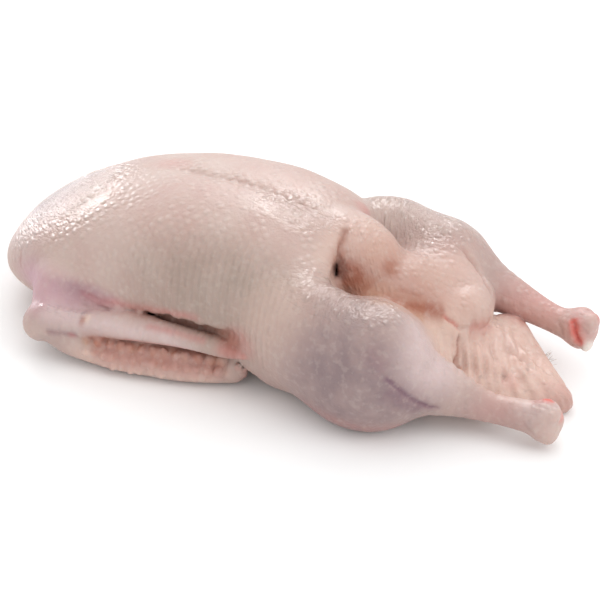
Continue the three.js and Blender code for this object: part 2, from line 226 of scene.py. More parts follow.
@dataclass
class Roll(Form):
    """Tapered round roll along rows of [x, y, z, radius]."""

    rows: Sequence[Row]
    scallop: Optional["Scallop"] = None

    def __post_init__(self) -> None:
        """Follow the smooth curve through the rows."""
        self.line = smooth_rows(self.rows)
        self.line[:, 3] = np.maximum(self.line[:, 3], THINNEST_ROLL)

    def reach(self) -> tuple[np.ndarray, np.ndarray]:
        """Lowest and highest corners of the form."""
        radius = self.line[:, 3:4]
        return (self.line[:, :3] - radius).min(0), (self.line[:, :3] + radius).max(0)

    def distance(self, x: np.ndarray, y: np.ndarray, z: np.ndarray) -> np.ndarray:
        """Distance at every point of a block, below zero inside the form.

        Args:
            x: places along X, shaped to spread over the block.
            y: places along Y, shaped likewise.
            z: places along Z, shaped likewise.

        Returns:
            The distances.
        """
        best = None
        if self.scallop is not None:
            z = z + self.scallop.offset(x)
        for start, end in zip(self.line[:-1], self.line[1:]):
            step = end[:3] - start[:3]
            t = (x - start[0]) * step[0] + (y - start[1]) * step[1] + (z - start[2]) * step[2]
            t = np.clip(t / (step @ step), 0, 1)
            gap = np.sqrt((x - start[0] - step[0] * t) ** 2 + (y - start[1] - step[1] * t) ** 2
                          + (z - start[2] - step[2] * t) ** 2)
            gap = gap - start[3] - (end[3] - start[3]) * t
            best = gap if best is None else np.minimum(best, gap)
        return best


@dataclass(frozen=True)
class Scallop:
    """Uneven waves along X, such as those of a skin's free edge."""

    pitch: float
    depth: float
    phase: float
    waves: Sequence[Row] = ((1.0, 1.0, 0.0), (0.5, 1.73, 1.1), (0.3, 0.41, 0.0))

    def offset(self, x: np.ndarray) -> np.ndarray:
        """Height at x, added up from waves of [height, quickness, lead]."""
        turn = 2 * math.pi * x / self.pitch + self.phase
        return self.depth * sum(high * np.sin(turn * quick + lead) for high, quick, lead in self.waves)


@dataclass(frozen=True)
class Egg(Form):
    """Ellipsoid, pitched about Y and then turned by yaw about Z, in degrees."""

    centre: Row
    radii: Row
    yaw: float = 0.0
    pitch: float = 0.0
    core: float = 0.05

    def reach(self) -> tuple[np.ndarray, np.ndarray]:
        """Lowest and highest corners of the form."""
        centre, radius = np.array(self.centre, float), max(self.radii)
        return centre - radius, centre + radius

    def distance(self, x: np.ndarray, y: np.ndarray, z: np.ndarray) -> np.ndarray:
        """Distance at every point of a block, below zero inside the form.

        Args:
            x: places along X, shaped to spread over the block.
            y: places along Y, shaped likewise.
            z: places along Z, shaped likewise.

        Returns:
            The distances.
        """
        x, y, z = x - self.centre[0], y - self.centre[1], z - self.centre[2]
        axes = turned(self.yaw, self.pitch).T
        along = [axis[0] * x + axis[1] * y + axis[2] * z for axis in axes]
        reach = np.sqrt(sum((a / r) ** 2 for a, r in zip(along, self.radii)))
        steep = np.sqrt(sum((a / r ** 2) ** 2 for a, r in zip(along, self.radii))) + 1e-6
        return np.where(reach < self.core, -min(self.radii), reach * (reach - 1) / steep)


@dataclass
class Leaf(Form):
    """Rounded three-cornered leaf; each corner is [x, y, z, thickness]."""

    corners: Sequence[Row]

    def reach(self) -> tuple[np.ndarray, np.ndarray]:
        """Lowest and highest corners of the form."""
        c = np.array(self.corners, float)
        return (c[:, :3] - c[:, 3:]).min(0), (c[:, :3] + c[:, 3:]).max(0)

    def distance(self, x: np.ndarray, y: np.ndarray, z: np.ndarray) -> np.ndarray:
        """Distance at every point of a block, below zero inside the form.

        Args:
            x: places along X, shaped to spread over the block.
            y: places along Y, shaped likewise.
            z: places along Z, shaped likewise.

        Returns:
            The distances.
        """
        x, y, z = np.broadcast_arrays(x, y, z)
        p = np.stack([x, y, z], -1).reshape(-1, 3).astype(float)
        c = np.array(self.corners, float)
        at, thick = c[:, :3], c[:, 3]
        one, two = at[1] - at[0], at[2] - at[0]
        normal = np.cross(one, two)
        out = p - at[0]
        d00, d01, d11 = one @ one, one @ two, two @ two
        d20, d21 = out @ one, out @ two
        scale = d00 * d11 - d01 * d01
        v = (d11 * d20 - d01 * d21) / scale
        w = (d00 * d21 - d01 * d20) / scale
        u = 1 - v - w
        inside = (u >= 0) & (v >= 0) & (w >= 0)
        flat = np.abs(out @ normal) / np.linalg.norm(normal) - (u * thick[0] + v * thick[1] + w * thick[2])
        best = np.where(inside, flat, OUT_OF_SIGHT)
        for i in range(3):
            j = (i + 1) % 3
            step = at[j] - at[i]
            t = np.clip((p - at[i]) @ step / (step @ step), 0, 1)
            gap = np.linalg.norm(p - at[i] - t[:, None] * step, axis=1)
            edge = gap - thick[i] - (thick[j] - thick[i]) * t
            best = np.minimum(best, np.where(inside, OUT_OF_SIGHT, edge))
        return best.reshape(x.shape)


@dataclass
class Cluster(Form):
    """Several forms joined softly to one another."""

    forms: Sequence[tuple[Form, float]]

    def reach(self) -> tuple[np.ndarray, np.ndarray]:
        """Lowest and highest corners of the forms together."""
        ends = [form.reach() for form, _ in self.forms]
        return np.min([low for low, _ in ends], axis=0), np.max([high for _, high in ends], axis=0)

    def distance(self, x: np.ndarray, y: np.ndarray, z: np.ndarray) -> np.ndarray:
        """Distance at every point of a block, below zero inside the forms.

        Args:
            x: places along X, shaped to spread over the block.
            y: places along Y, shaped likewise.
            z: places along Z, shaped likewise.

        Returns:
            The distances.
        """
        total = self.forms[0][0].distance(x, y, z)
        for form, blend in self.forms[1:]:
            total = soft_join(total, form.distance(x, y, z), blend)
        return total


@dataclass
class Trunk(Form):
    """The trunk: sections along X, round below and fuller above, with a groove over the keel."""

    breast_line: Sequence[Row] = (
        (-149, 29), (-139, 43.5), (-128, 52.5), (-108, 65), (-80, 77), (-45, 83.5),
        (-10, 84.5), (10, 81.5), (29, 73.5), (33, 69), (36, 60), (38, 42))
    half_width: Sequence[Row] = (
        (-149, 7), (-145.5, 20), (-139, 31), (-128, 39), (-108, 46), (-80, 51),
        (-45, 54), (-10, 54), (10, 52), (29, 47), (33, 42), (36, 34), (38, 18))
    widest_level: Sequence[Row] = ((-149, 23), (-128, 29), (-80, 36), (-10, 39), (29, 38), (38, 30))
    back_line: Sequence[Row] = ((-149, 17), (-139, 8), (-108, 2), (-80, 0), (-45, -2), (33, -2), (38, 0))
    roundness: Sequence[Row] = ((-149, 2), (-108, 2.15), (-10, 2.4), (29, 2.3), (38, 2))
    back_roundness: float = 2.0
    groove_line: Sequence[Row] = ((-66, 3), (-20, 0), (24, -5))
    groove_depth: float = 1.5
    groove_half_width: float = 2.4
    valley_depth: float = 1.2
    valley_half_width: float = 10.0
    groove_ends: Row = (-60, 20)
    groove_fade: float = 12.0
    groove_level: float = 50.0
    core: float = 1e-3

    def reach(self) -> tuple[np.ndarray, np.ndarray]:
        """Lowest and highest corners of the form.

        Returns:
            The two corners.
        """
        wide = max(value for _, value in self.half_width)
        low = min(value for _, value in self.back_line)
        high = max(value for _, value in self.breast_line)
        ends = self.half_width[0][0], self.half_width[-1][0]
        return np.array([ends[0], -wide, low]), np.array([ends[1], wide, high])

    def distance(self, x: np.ndarray, y: np.ndarray, z: np.ndarray) -> np.ndarray:
        """Distance at every point of a block, below zero inside the form.

        Args:
            x: places along X, shaped to spread over the block.
            y: places along Y, shaped likewise.
            z: places along Z, shaped likewise.

        Returns:
            The distances.
        """
        at = np.clip(x, self.half_width[0][0], self.half_width[-1][0])
        half, level = profile(self.half_width, at), profile(self.widest_level, at)
        rise = z - level
        above = rise > 0
        breast, back = profile(self.breast_line, at), profile(self.back_line, at)
        height = np.where(above, breast - level, level - back)
        bend = np.where(above, profile(self.roundness, at), self.back_roundness)
        reach = ((np.abs(y) / half) ** bend + (np.abs(rise) / height) ** bend) ** (1 / bend)
        across = np.sqrt(y * y + rise * rise) * (1 - 1 / np.maximum(reach, self.core))
        across = np.where(reach < self.core, -np.minimum(half, height), across)
        beyond = x - at
        outside = np.sqrt(np.maximum(across, 0) ** 2 + beyond ** 2)
        return np.where(beyond == 0, across, outside) + self.groove(x, y, z)

    def groove(self, x: np.ndarray, y: np.ndarray, z: np.ndarray) -> np.ndarray:
        """Depth of the groove that runs over the keel between the breast muscles.

        Args:
            x: places along X, shaped to spread over the block.
            y: places along Y, shaped likewise.
            z: places along Z, shaped likewise.

        Returns:
            The depths.
        """
        along = window(x, *self.groove_ends, self.groove_fade)
        on_breast = ease(z, self.groove_level - self.groove_fade, self.groove_level + self.groove_fade)
        off = y - profile(self.groove_line, x)
        line = self.groove_depth * np.exp(-(off / self.groove_half_width) ** 2)
        valley = self.valley_depth * np.exp(-(off / self.valley_half_width) ** 2)
        return (line + valley) * along * on_breast


# ------------------------------------------------------------------ the field and its skin


@dataclass
class Flesh:
    """A field of distances on a regular grid, into which forms are joined and cut."""

    cell: float
    low: Row = (-156, -80, -3)
    high: Row = (156, 80, 96)
    margin: float = 16.0
    probe: float = 0.75

    def __post_init__(self) -> None:
        """Lay out the empty grid."""
        self.axes = [np.arange(a, b + self.cell, self.cell) for a, b in zip(self.low, self.high)]
        self.values = np.full(tuple(len(a) for a in self.axes), FAR_AWAY, np.float32)

    def block(self, form: Form) -> Block:
        """The part of the grid that a form can touch.

        Args:
            form: the form.

        Returns:
            The block's slices and its coordinates.
        """
        low, high = form.reach()
        cuts, places = [], []
        for axis, (line, a, b) in enumerate(zip(self.axes, low - self.margin, high + self.margin)):
            first = max(0, int(np.searchsorted(line, a)) - 1)
            cut = slice(first, int(np.searchsorted(line, b)) + 1)
            cuts.append(cut)
            shape = [1, 1, 1]
            shape[axis] = -1
            places.append(line[cut].reshape(shape))
        return tuple(cuts), tuple(places)

    def join(self, form: Form, blend: Blend) -> None:
        """Join a form on with a rounded inner edge.

        Args:
            form: the form.
            blend: width of the rounding, or a function that gives it at x.
        """
        cut, (x, y, z) = self.block(form)
        soft = blend(x) if callable(blend) else blend
        self.values[cut] = soft_join(self.values[cut], form.distance(x, y, z), soft)

    def cut(self, form: Form, blend: float) -> None:
        """Cut a form away with a rounded edge."""
        cut, (x, y, z) = self.block(form)
        self.values[cut] = -soft_join(-self.values[cut], form.distance(x, y, z), blend)

    def rest_on(self, level: float) -> None:
        """Cut everything below a level away."""
        self.values = np.maximum(self.values, (level - self.axes[2]).astype(np.float32)[None, None, :])

    def sample(self, points: np.ndarray) -> np.ndarray:
        """The field at points between the grid's own, by linear steps.

        Args:
            points: N points.

        Returns:
            The distances there.
        """
        place = (points - [line[0] for line in self.axes]) / self.cell
        base = np.clip(place.astype(int), 0, np.array(self.values.shape) - 2)
        part = place - base
        total = np.zeros(len(points))
        for corner in range(8):
            step = np.array([corner & 1, (corner >> 1) & 1, corner >> 2])
            share = np.prod(np.where(step, part, 1 - part), axis=1)
            i, j, k = (base + step).T
            total += share * self.values[i, j, k]
        return total

    def slope(self, points: np.ndarray) -> np.ndarray:
        """Direction in which the field rises at points, of length one.

        Args:
            points: N points.

        Returns:
            N directions.
        """
        rise = np.empty_like(points)
        for axis in range(3):
            step = np.zeros(3)
            step[axis] = self.cell * self.probe
            rise[:, axis] = self.sample(points + step) - self.sample(points - step)
        return rise / (np.linalg.norm(rise, axis=1, keepdims=True) + 1e-9)


class SkinNet:
    """The surface where the field is zero: one point in each crossed cell, joined by squares."""

    def __init__(self, flesh: Flesh) -> None:
        """Find the net's points and squares.

        Args:
            flesh: the field.
        """
        self.flesh = flesh
        values = flesh.values
        inside = values < 0
        corners = [(c & 1, (c >> 1) & 1, c >> 2) for c in range(8)]
        whole = tuple(n - 1 for n in values.shape)
        count = np.zeros(whole, np.int8)
        for u, v, w in corners:
            count += inside[u:u + whole[0], v:v + whole[1], w:w + whole[2]]
        cells = np.argwhere((count > 0) & (count < 8))
        self.ids = np.full(values.shape, -1, np.int32)
        self.ids[tuple(cells.T)] = np.arange(len(cells))
        self.points = self._place_points(cells, corners)
        self.squares = self._join_squares(inside)
        self._keep_largest()

    def _place_points(self, cells: np.ndarray, corners: list[tuple[int, int, int]]) -> np.ndarray:
        """One point in each cell, at the middle of the crossings of its edges.

        Args:
            cells: the crossed cells.
            corners: the steps to a cell's corners.

        Returns:
            The points.
        """
        value = np.stack([self.flesh.values[tuple((cells + corner).T)] for corner in corners], -1)
        total = np.zeros((len(cells), 3))
        crossings = np.zeros(len(cells))
        for a in range(8):
            for bit in (1, 2, 4):
                if a & bit:
                    continue
                b = a | bit
                crossed = (value[:, a] < 0) != (value[:, b] < 0)
                gap = np.where(crossed, value[:, a] - value[:, b], 1)
                t = (value[:, a] / gap)[:, None]
                place = np.array(corners[a]) * (1 - t) + np.array(corners[b]) * t
                total += place * crossed[:, None]
                crossings += crossed
        origin = np.array([line[0] for line in self.flesh.axes])
        return origin + (cells + total / crossings[:, None]) * self.flesh.cell

    def _join_squares(self, inside: np.ndarray) -> np.ndarray:
        """A square round every edge of the grid that the surface crosses.

        Args:
            inside: which grid points lie inside.

        Returns:
            Rows of four point numbers, turned outwards.
        """
        squares = []
        for axis in range(3):
            one, two = (axis + 1) % 3, (axis + 2) % 3
            step = np.zeros(3, int)
            step[axis] = 1
            shape = np.array(inside.shape) - step
            here = inside[:shape[0], :shape[1], :shape[2]]
            there = inside[step[0]:, step[1]:, step[2]:]
            edges = np.argwhere(here != there)
            edges = edges[(edges[:, one] > 0) & (edges[:, two] > 0)]
            ring = []
            for u, v in ((0, 0), (1, 0), (1, 1), (0, 1)):
                cell = edges.copy()
                cell[:, one] -= u
                cell[:, two] -= v
                ring.append(self.ids[tuple(cell.T)])
            ring = np.stack(ring, -1)
            outwards = inside[tuple(edges.T)]
            ring[~outwards] = ring[~outwards][:, ::-1]
            squares.append(ring)
        return np.vstack(squares)

    def _keep_largest(self) -> None:
        """Keep the largest connected part of the net."""
        label = np.arange(len(self.points))
        pairs = np.vstack([self.squares[:, [i, (i + 1) % 4]] for i in range(4)])
        while True:
            lowest = np.minimum(label[pairs[:, 0]], label[pairs[:, 1]])
            before = label.copy()
            np.minimum.at(label, pairs[:, 0], lowest)
            np.minimum.at(label, pairs[:, 1], lowest)
            label = label[label]
            if (label == before).all():
                break
        keep = label == np.bincount(label).argmax()
        number = np.cumsum(keep) - 1
        self.points = self.points[keep]
        self.squares = number[self.squares[keep[self.squares[:, 0]]]]

    def relax(self, rounds: int) -> None:
        """Even the net out and pull its points back onto the surface.

        Args:
            rounds: how many times.
        """
        pairs = np.vstack([self.squares[:, [i, (i + 1) % 4]] for i in range(4)])
        size = len(self.points)
        degree = np.bincount(pairs[:, 0], minlength=size) + np.bincount(pairs[:, 1], minlength=size)
        for _ in range(rounds):
            middle = np.empty_like(self.points)
            for axis in range(3):
                value = self.points[:, axis]
                total = np.bincount(pairs[:, 0], weights=value[pairs[:, 1]], minlength=size)
                total += np.bincount(pairs[:, 1], weights=value[pairs[:, 0]], minlength=size)
                middle[:, axis] = total / degree
            self.points = 0.5 * self.points + 0.5 * middle
            self.points -= self.flesh.slope(self.points) * self.flesh.sample(self.points)[:, None]


# ------------------------------------------------------------------ what is pressed into the skin


def near_rows(points: np.ndarray, rows: np.ndarray, reach: float) -> np.ndarray:
    """Numbers of the points in the box round a line, widened by a reach."""
    low, high = rows[:, :3].min(0) - reach, rows[:, :3].max(0) + reach
    return np.flatnonzero(((points > low) & (points < high)).all(1))


def settled(rows: np.ndarray, points: np.ndarray) -> np.ndarray:
    """Rows of [x, y, z, ...] moved onto the nearest of the skin's points.

    Args:
        rows: the rows.
        points: the skin's points.

    Returns:
        The moved rows.
    """
    moved = rows.copy()
    near = points[near_rows(points, rows, SETTLING_REACH)]
    for row in moved:
        row[:3] = near[((near - row[:3]) ** 2).sum(1).argmin()]
    return moved


def lumps(points: np.ndarray, size: float, seed: int, waves: int = 7) -> np.ndarray:
    """Soft irregular noise of about -1 to 1.

    Args:
        points: N points.
        size: width of a lump.
        seed: seed of the noise.
        waves: how many waves are added up.

    Returns:
        The noise at the points.
    """
    rng = np.random.default_rng(seed)
    total = np.zeros(len(points))
    for _ in range(waves):
        way = rng.normal(size=3)
        way /= np.linalg.norm(way)
        length = 2 * size * rng.uniform(*LUMP_LENGTHS)
        total += np.sin(points @ way * (2 * math.pi / length) + rng.uniform(0, 2 * math.pi))
    return total / math.sqrt(waves)


class Relief:
    """Something that raises or sinks the skin."""

    def height(self, points: np.ndarray) -> np.ndarray:
        """Height above the skin at each point."""
        raise NotImplementedError


@dataclass
class Crease(Relief):
    """Fold pressed in along rows of [x, y, z], with a rounded lip on both sides."""

    rows: Sequence[Row]
    width: float = 1.6
    depth: float = 1.2
    lip: float = 0.25
    fade: float = 0.2
    lip_spread: float = 2.4

    def share(self, points: np.ndarray, width: float) -> np.ndarray:
        """How near each point is to the fold, as 1 in it to 0 away from it.

        Args:
            points: the skin's points.
            width: half-width of the fold.

        Returns:
            The nearness.
        """
        line = smooth_rows(settled(smooth_rows(self.rows, 2), points), 3)
        near = near_rows(points, line, FADED_OUT * width)
        gap, place = nearest_on_rows(points[near], line)
        taper = ease(place, 0, self.fade) * (1 - ease(place, 1 - self.fade, 1))
        share = np.zeros(len(points))
        share[near] = np.exp(-(gap / width) ** 2) * taper
        return share

    def height(self, points: np.ndarray) -> np.ndarray:
        """Height above the skin at each point.

        Args:
            points: the skin's points.

        Returns:
            The heights.
        """
        sunk = self.share(points, self.width)
        raised = self.share(points, self.lip_spread * self.width)
        return self.lip * raised - (self.depth + self.lip) * sunk


@dataclass
class Patch:
    """Soft-edged egg-shaped place on the skin."""

    centre: Row
    radii: Row
    amount: float = 1.0
    soft: float = 0.6

    def share(self, points: np.ndarray) -> np.ndarray:
        """How far inside the place each point is, from 0 to its full amount.

        Args:
            points: the skin's points.

        Returns:
            The shares.
        """
        out = (points - np.array(self.centre, float)) / np.array(self.radii, float)
        reach = np.linalg.norm(out, axis=1)
        return self.amount * (1 - ease(reach, 1 - self.soft, 1 + self.soft))


@dataclass
class Streak:
    """Soft-edged band along rows of [x, y, z]."""

    rows: Sequence[Row]
    width: float
    amount: float = 1.0
    fade: float = 0.15

    def share(self, points: np.ndarray) -> np.ndarray:
        """How far inside the band each point is, from 0 to its full amount."""
        return self.amount * Crease(self.rows, fade=self.fade).share(points, self.width)


@dataclass
class Ripples(Relief):
    """Wavy wrinkles over a place; each wrinkle runs square to the given way."""

    place: Patch
    way: Row
    pitch: float
    depth: float
    wander: float
    seed: int
    bend: float = 0.35
    bend_length: float = 4.0
    swell: float = 0.35
    swell_length: float = 3.0
    swell_seed: int = 50

    def height(self, points: np.ndarray) -> np.ndarray:
        """Height above the skin at each point.

        Args:
            points: the skin's points.

        Returns:
            The heights.
        """
        share = self.place.share(points)
        near = np.flatnonzero(share > 0)
        way = np.array(self.way, float)
        way /= np.linalg.norm(way)
        turn = points[near] @ way / self.pitch
        bends = lumps(points[near], self.bend_length * self.pitch, self.seed)
        turn = turn + self.wander * self.bend * bends
        swells = lumps(points[near], self.swell_length * self.pitch, self.seed + self.swell_seed)
        wave = 0.5 + 0.5 * np.sin(2 * math.pi * turn)
        wave = wave * (1 - self.swell + self.swell * swells)
        height = np.zeros(len(points))
        height[near] = self.depth * (wave - 0.5) * share[near]
        return height


@dataclass
class Beads(Relief):
    """Row of small bumps along a line of [x, y, z], such as the seats of quills."""

    rows: Sequence[Row]
    pitch: float
    radius: float
    rise: float
    uneven: float
    seed: int

    def middles(self) -> np.ndarray:
        """Middles of the bumps along the line, unevenly spaced and sized.

        Returns:
            Rows of [x, y, z, rise, radius], one for each bump.
        """
        line = smooth_rows(self.rows, 8)[:, :3]
        step = np.linalg.norm(np.diff(line, axis=0), axis=1)
        along = np.concatenate([[0], np.cumsum(step)])
        rng = np.random.default_rng(self.seed)
        count = max(2, int(along[-1] / self.pitch))
        at = (np.arange(count) + 0.5 + rng.uniform(-0.5, 0.5, count) * self.uneven) / count * along[-1]
        middle = np.stack([np.interp(at, along, line[:, i]) for i in range(3)], -1)
        rise = self.rise * (1 + self.uneven * rng.uniform(-1, 1, count))
        radius = self.radius * (1 + 0.5 * self.uneven * rng.uniform(-1, 1, count))
        return np.column_stack([middle, rise, radius])

    def places(self, points: np.ndarray) -> np.ndarray:
        """The bumps' rows with their middles moved onto the skin."""
        return settled(self.middles(), points)

    def domes(self, longer: float, lean: float) -> list[Egg]:
        """The bumps as eggs, to be joined onto the flesh.

        Args:
            longer: their height over their width.
            lean: how far they lean towards the tail, in degrees.

        Returns:
            The eggs.
        """
        return [Egg((x, y, z), (radius, rise, radius * longer), 0, lean)
                for x, y, z, rise, radius in self.middles()]

    def height(self, points: np.ndarray) -> np.ndarray:
        """Height above the skin at each point.

        Args:
            points: the skin's points.

        Returns:
            The heights.
        """
        height = np.zeros(len(points))
        places = self.places(points)
        near = near_rows(points, places, 3 * self.radius)
        for x, y, z, rise, radius in places:
            gap = ((points[near] - (x, y, z)) ** 2).sum(1)
            height[near] = np.maximum(height[near], rise * np.exp(-gap / radius ** 2))
        return height

    def share(self, points: np.ndarray) -> np.ndarray:
        """How near each point is to the top of a bump, from 0 to 1."""
        return np.minimum(self.height(points) / self.rise, 1)


@dataclass
class Tops:
    """Tops of a row of bumps, which take a tint."""

    beads: Beads
    amount: float

    def share(self, points: np.ndarray) -> np.ndarray:
        """How near a top each point is, from 0 to the full amount."""
        return self.amount * self.beads.share(points)


@dataclass
class Unevenness(Relief):
    """Soft lumps all over the skin."""

    size: float
    depth: float
    seed: int

    def height(self, points: np.ndarray) -> np.ndarray:
        """Height above the skin at each point."""
        return self.depth * lumps(points, self.size, self.seed)


# ------------------------------------------------------------------ the duck's parts


@dataclass
class Step:
    """One step of the build: a form that is joined on, or cut away, with a soft edge."""

    form: Form
    blend: Blend
    cut: bool = False


class Part:
    """A part of the bird: its forms, its reliefs and the places of its tints."""

    def steps(self) -> list[Step]:
        """Forms to join or cut, in order."""
        return []

    def reliefs(self) -> list[Relief]:
        """What is pressed into its skin."""
        return []

    def tints(self) -> dict["Tint", list]:
        """Where its skin takes each tint."""
        return {}


class Tint(Enum):
    """Tints of the skin, each kept as a number at every point; several carry painted shade or a painted
    highlight, in whole or in part.
    """

    MAUVE = "mauve"
    ROSY = "rosy"
    # painted shade, plum-coloured, in the thigh's fold and at the wing's shoulder and wrist folds
    PLUM = "plum"
    CREAM = "cream"
    AMBER = "amber"
    RAW = "raw"
    GRISTLE = "gristle"
    # red-brown skin, and painted shade along rims, creases and gaps
    RUDDY = "ruddy"
    # painted shade in the pocket and in the gap under the wing, and the tail's dark follicle dots, which
    # are the skin's own
    DEEP = "deep"
    ORCHID = "orchid"
    # pale pearly skin, and a painted highlight on the right thigh's upper side
    PEARL = "pearl"
    # painted shade: darker where the reliefs sink the skin, in creases and folds
    FOLD = "fold"
    # painted shade: the flanks made darker and greyer as if turned from the light; the ribs stand in the
    # same place
    ASH = "ash"
    WET = "wet"


@dataclass
class BreastAndBack(Part):
    """The trunk with its keel groove, and the pocket under the breast's rear edge."""

    trunk: Trunk = field(default_factory=Trunk)
    pocket: Sequence[Row] = ((43, -27, 62, 7.5), (42, -20, 62, 9.5), (42, -12, 64, 9.5), (43, -2, 72, 8))
    slit: Sequence[Row] = (
        (33, -11, 72, 0.6), (33.8, -15, 67, 0.9), (34.6, -18, 62, 1.2), (36, -20.5, 58, 1.4),
        (38.5, -24, 53, 1.0))
    slit_end: Sequence[Row] = ((33.4, -16.8, 63.4, 0.5), (35.4, -21.8, 57, 0.9), (30, -9.5, 55, 0.8))
    neck_fold: Sequence[Row] = ((-150, -12, 26), (-149, -3, 20), (-149, 8, 18), (-146, 17, 22))
    lower_neck_fold: Sequence[Row] = ((-147, -16, 20), (-147, -4, 13), (-147, 8, 12))
    scratch: Sequence[Row] = ((-128, -37, 42), (-127, -39, 37), (-125, -41, 31))
    rim: Sequence[Row] = (
        (33, -4, 76), (33, -8, 73.7), (33.4, -12, 70.5), (34, -15.5, 66.5), (34.6, -18, 62.5))

    def steps(self) -> list[Step]:
        """Forms to join or cut, in order."""
        return [Step(self.trunk, blend=1)]

    def pocket_cut(self) -> Step:
        """The hollow between the breast's rear edge and the belly."""
        return Step(Roll(self.pocket), blend=0.8, cut=True)

    def slit_cuts(self) -> list[Step]:
        """The deep corner of the pocket, cut once the belly lies in it."""
        return [Step(form, blend=0.6, cut=True) for form in (Roll(self.slit), Leaf(self.slit_end))]

    def reliefs(self) -> list[Relief]:
        """What is pressed into its skin.

        Returns:
            The reliefs.
        """
        flank = Patch((-10, -50, 52), (70, 20, 34), soft=0.5)
        return [
            Unevenness(size=26, depth=0.35, seed=11),
            Unevenness(size=9, depth=0.10, seed=12),
            Ripples(flank, (1, 0.1, 0.1), pitch=3.0, depth=0.26, wander=0.5, seed=5),
            Crease(self.neck_fold, width=1.8, depth=1.4),
            Crease(self.lower_neck_fold, width=1.6, depth=1.0),
            Crease(self.rim, width=1.2, depth=1.3, lip=0.4, fade=0.1),
        ]

    def tints(self) -> dict[Tint, list]:
        """Where its skin takes each tint.

        Returns:
            Patches and streaks of each tint.
        """
        return {
            Tint.ROSY: [
                Patch((-68, 8, 84), (12, 7, 6), amount=0.4),
                Patch((-149, 0, 18), (6, 18, 9), amount=0.6),
            ],
            # painted shade greying both flanks
            Tint.ASH: [Patch((-12, side.value * 52, 50), (44, 22, 30), amount=0.75) for side in Side],
            Tint.PEARL: [Patch((-130, 0, 52), (24, 34, 24), amount=0.9)],
            # painted shade in the pocket's deep corner and round its mouth
            Tint.DEEP: [
                Patch((31.5, -14.5, 58), (4, 6.5, 6), amount=0.8, soft=0.3),
                Patch((36, -16.5, 59), (2.6, 2.8, 4.5), amount=0.45),
            ],
            Tint.WET: [
                Patch((-116, -10, 62), (40, 36, 28)),
                Patch((15, -8, 82), (27, 14, 9), soft=0.5),
            ],
            # painted shade along the rim and in the pocket beside it; the scratch is a real mark
            Tint.RUDDY: [
                Streak(self.scratch, width=0.9, amount=0.45),
                Streak(self.rim, width=1.8, amount=0.6, fade=0.1),
                Patch((35, -17, 63), (4, 6, 10), amount=0.6),
                Patch((37.5, -16.5, 59.5), (4.5, 4.5, 6)),
            ],
            Tint.CREAM: [
                Patch((31, -14, 66), (6, 16, 18), amount=0.5),
                Patch((20, -54, 46), (18, 12, 24), amount=0.55),
            ],
        }


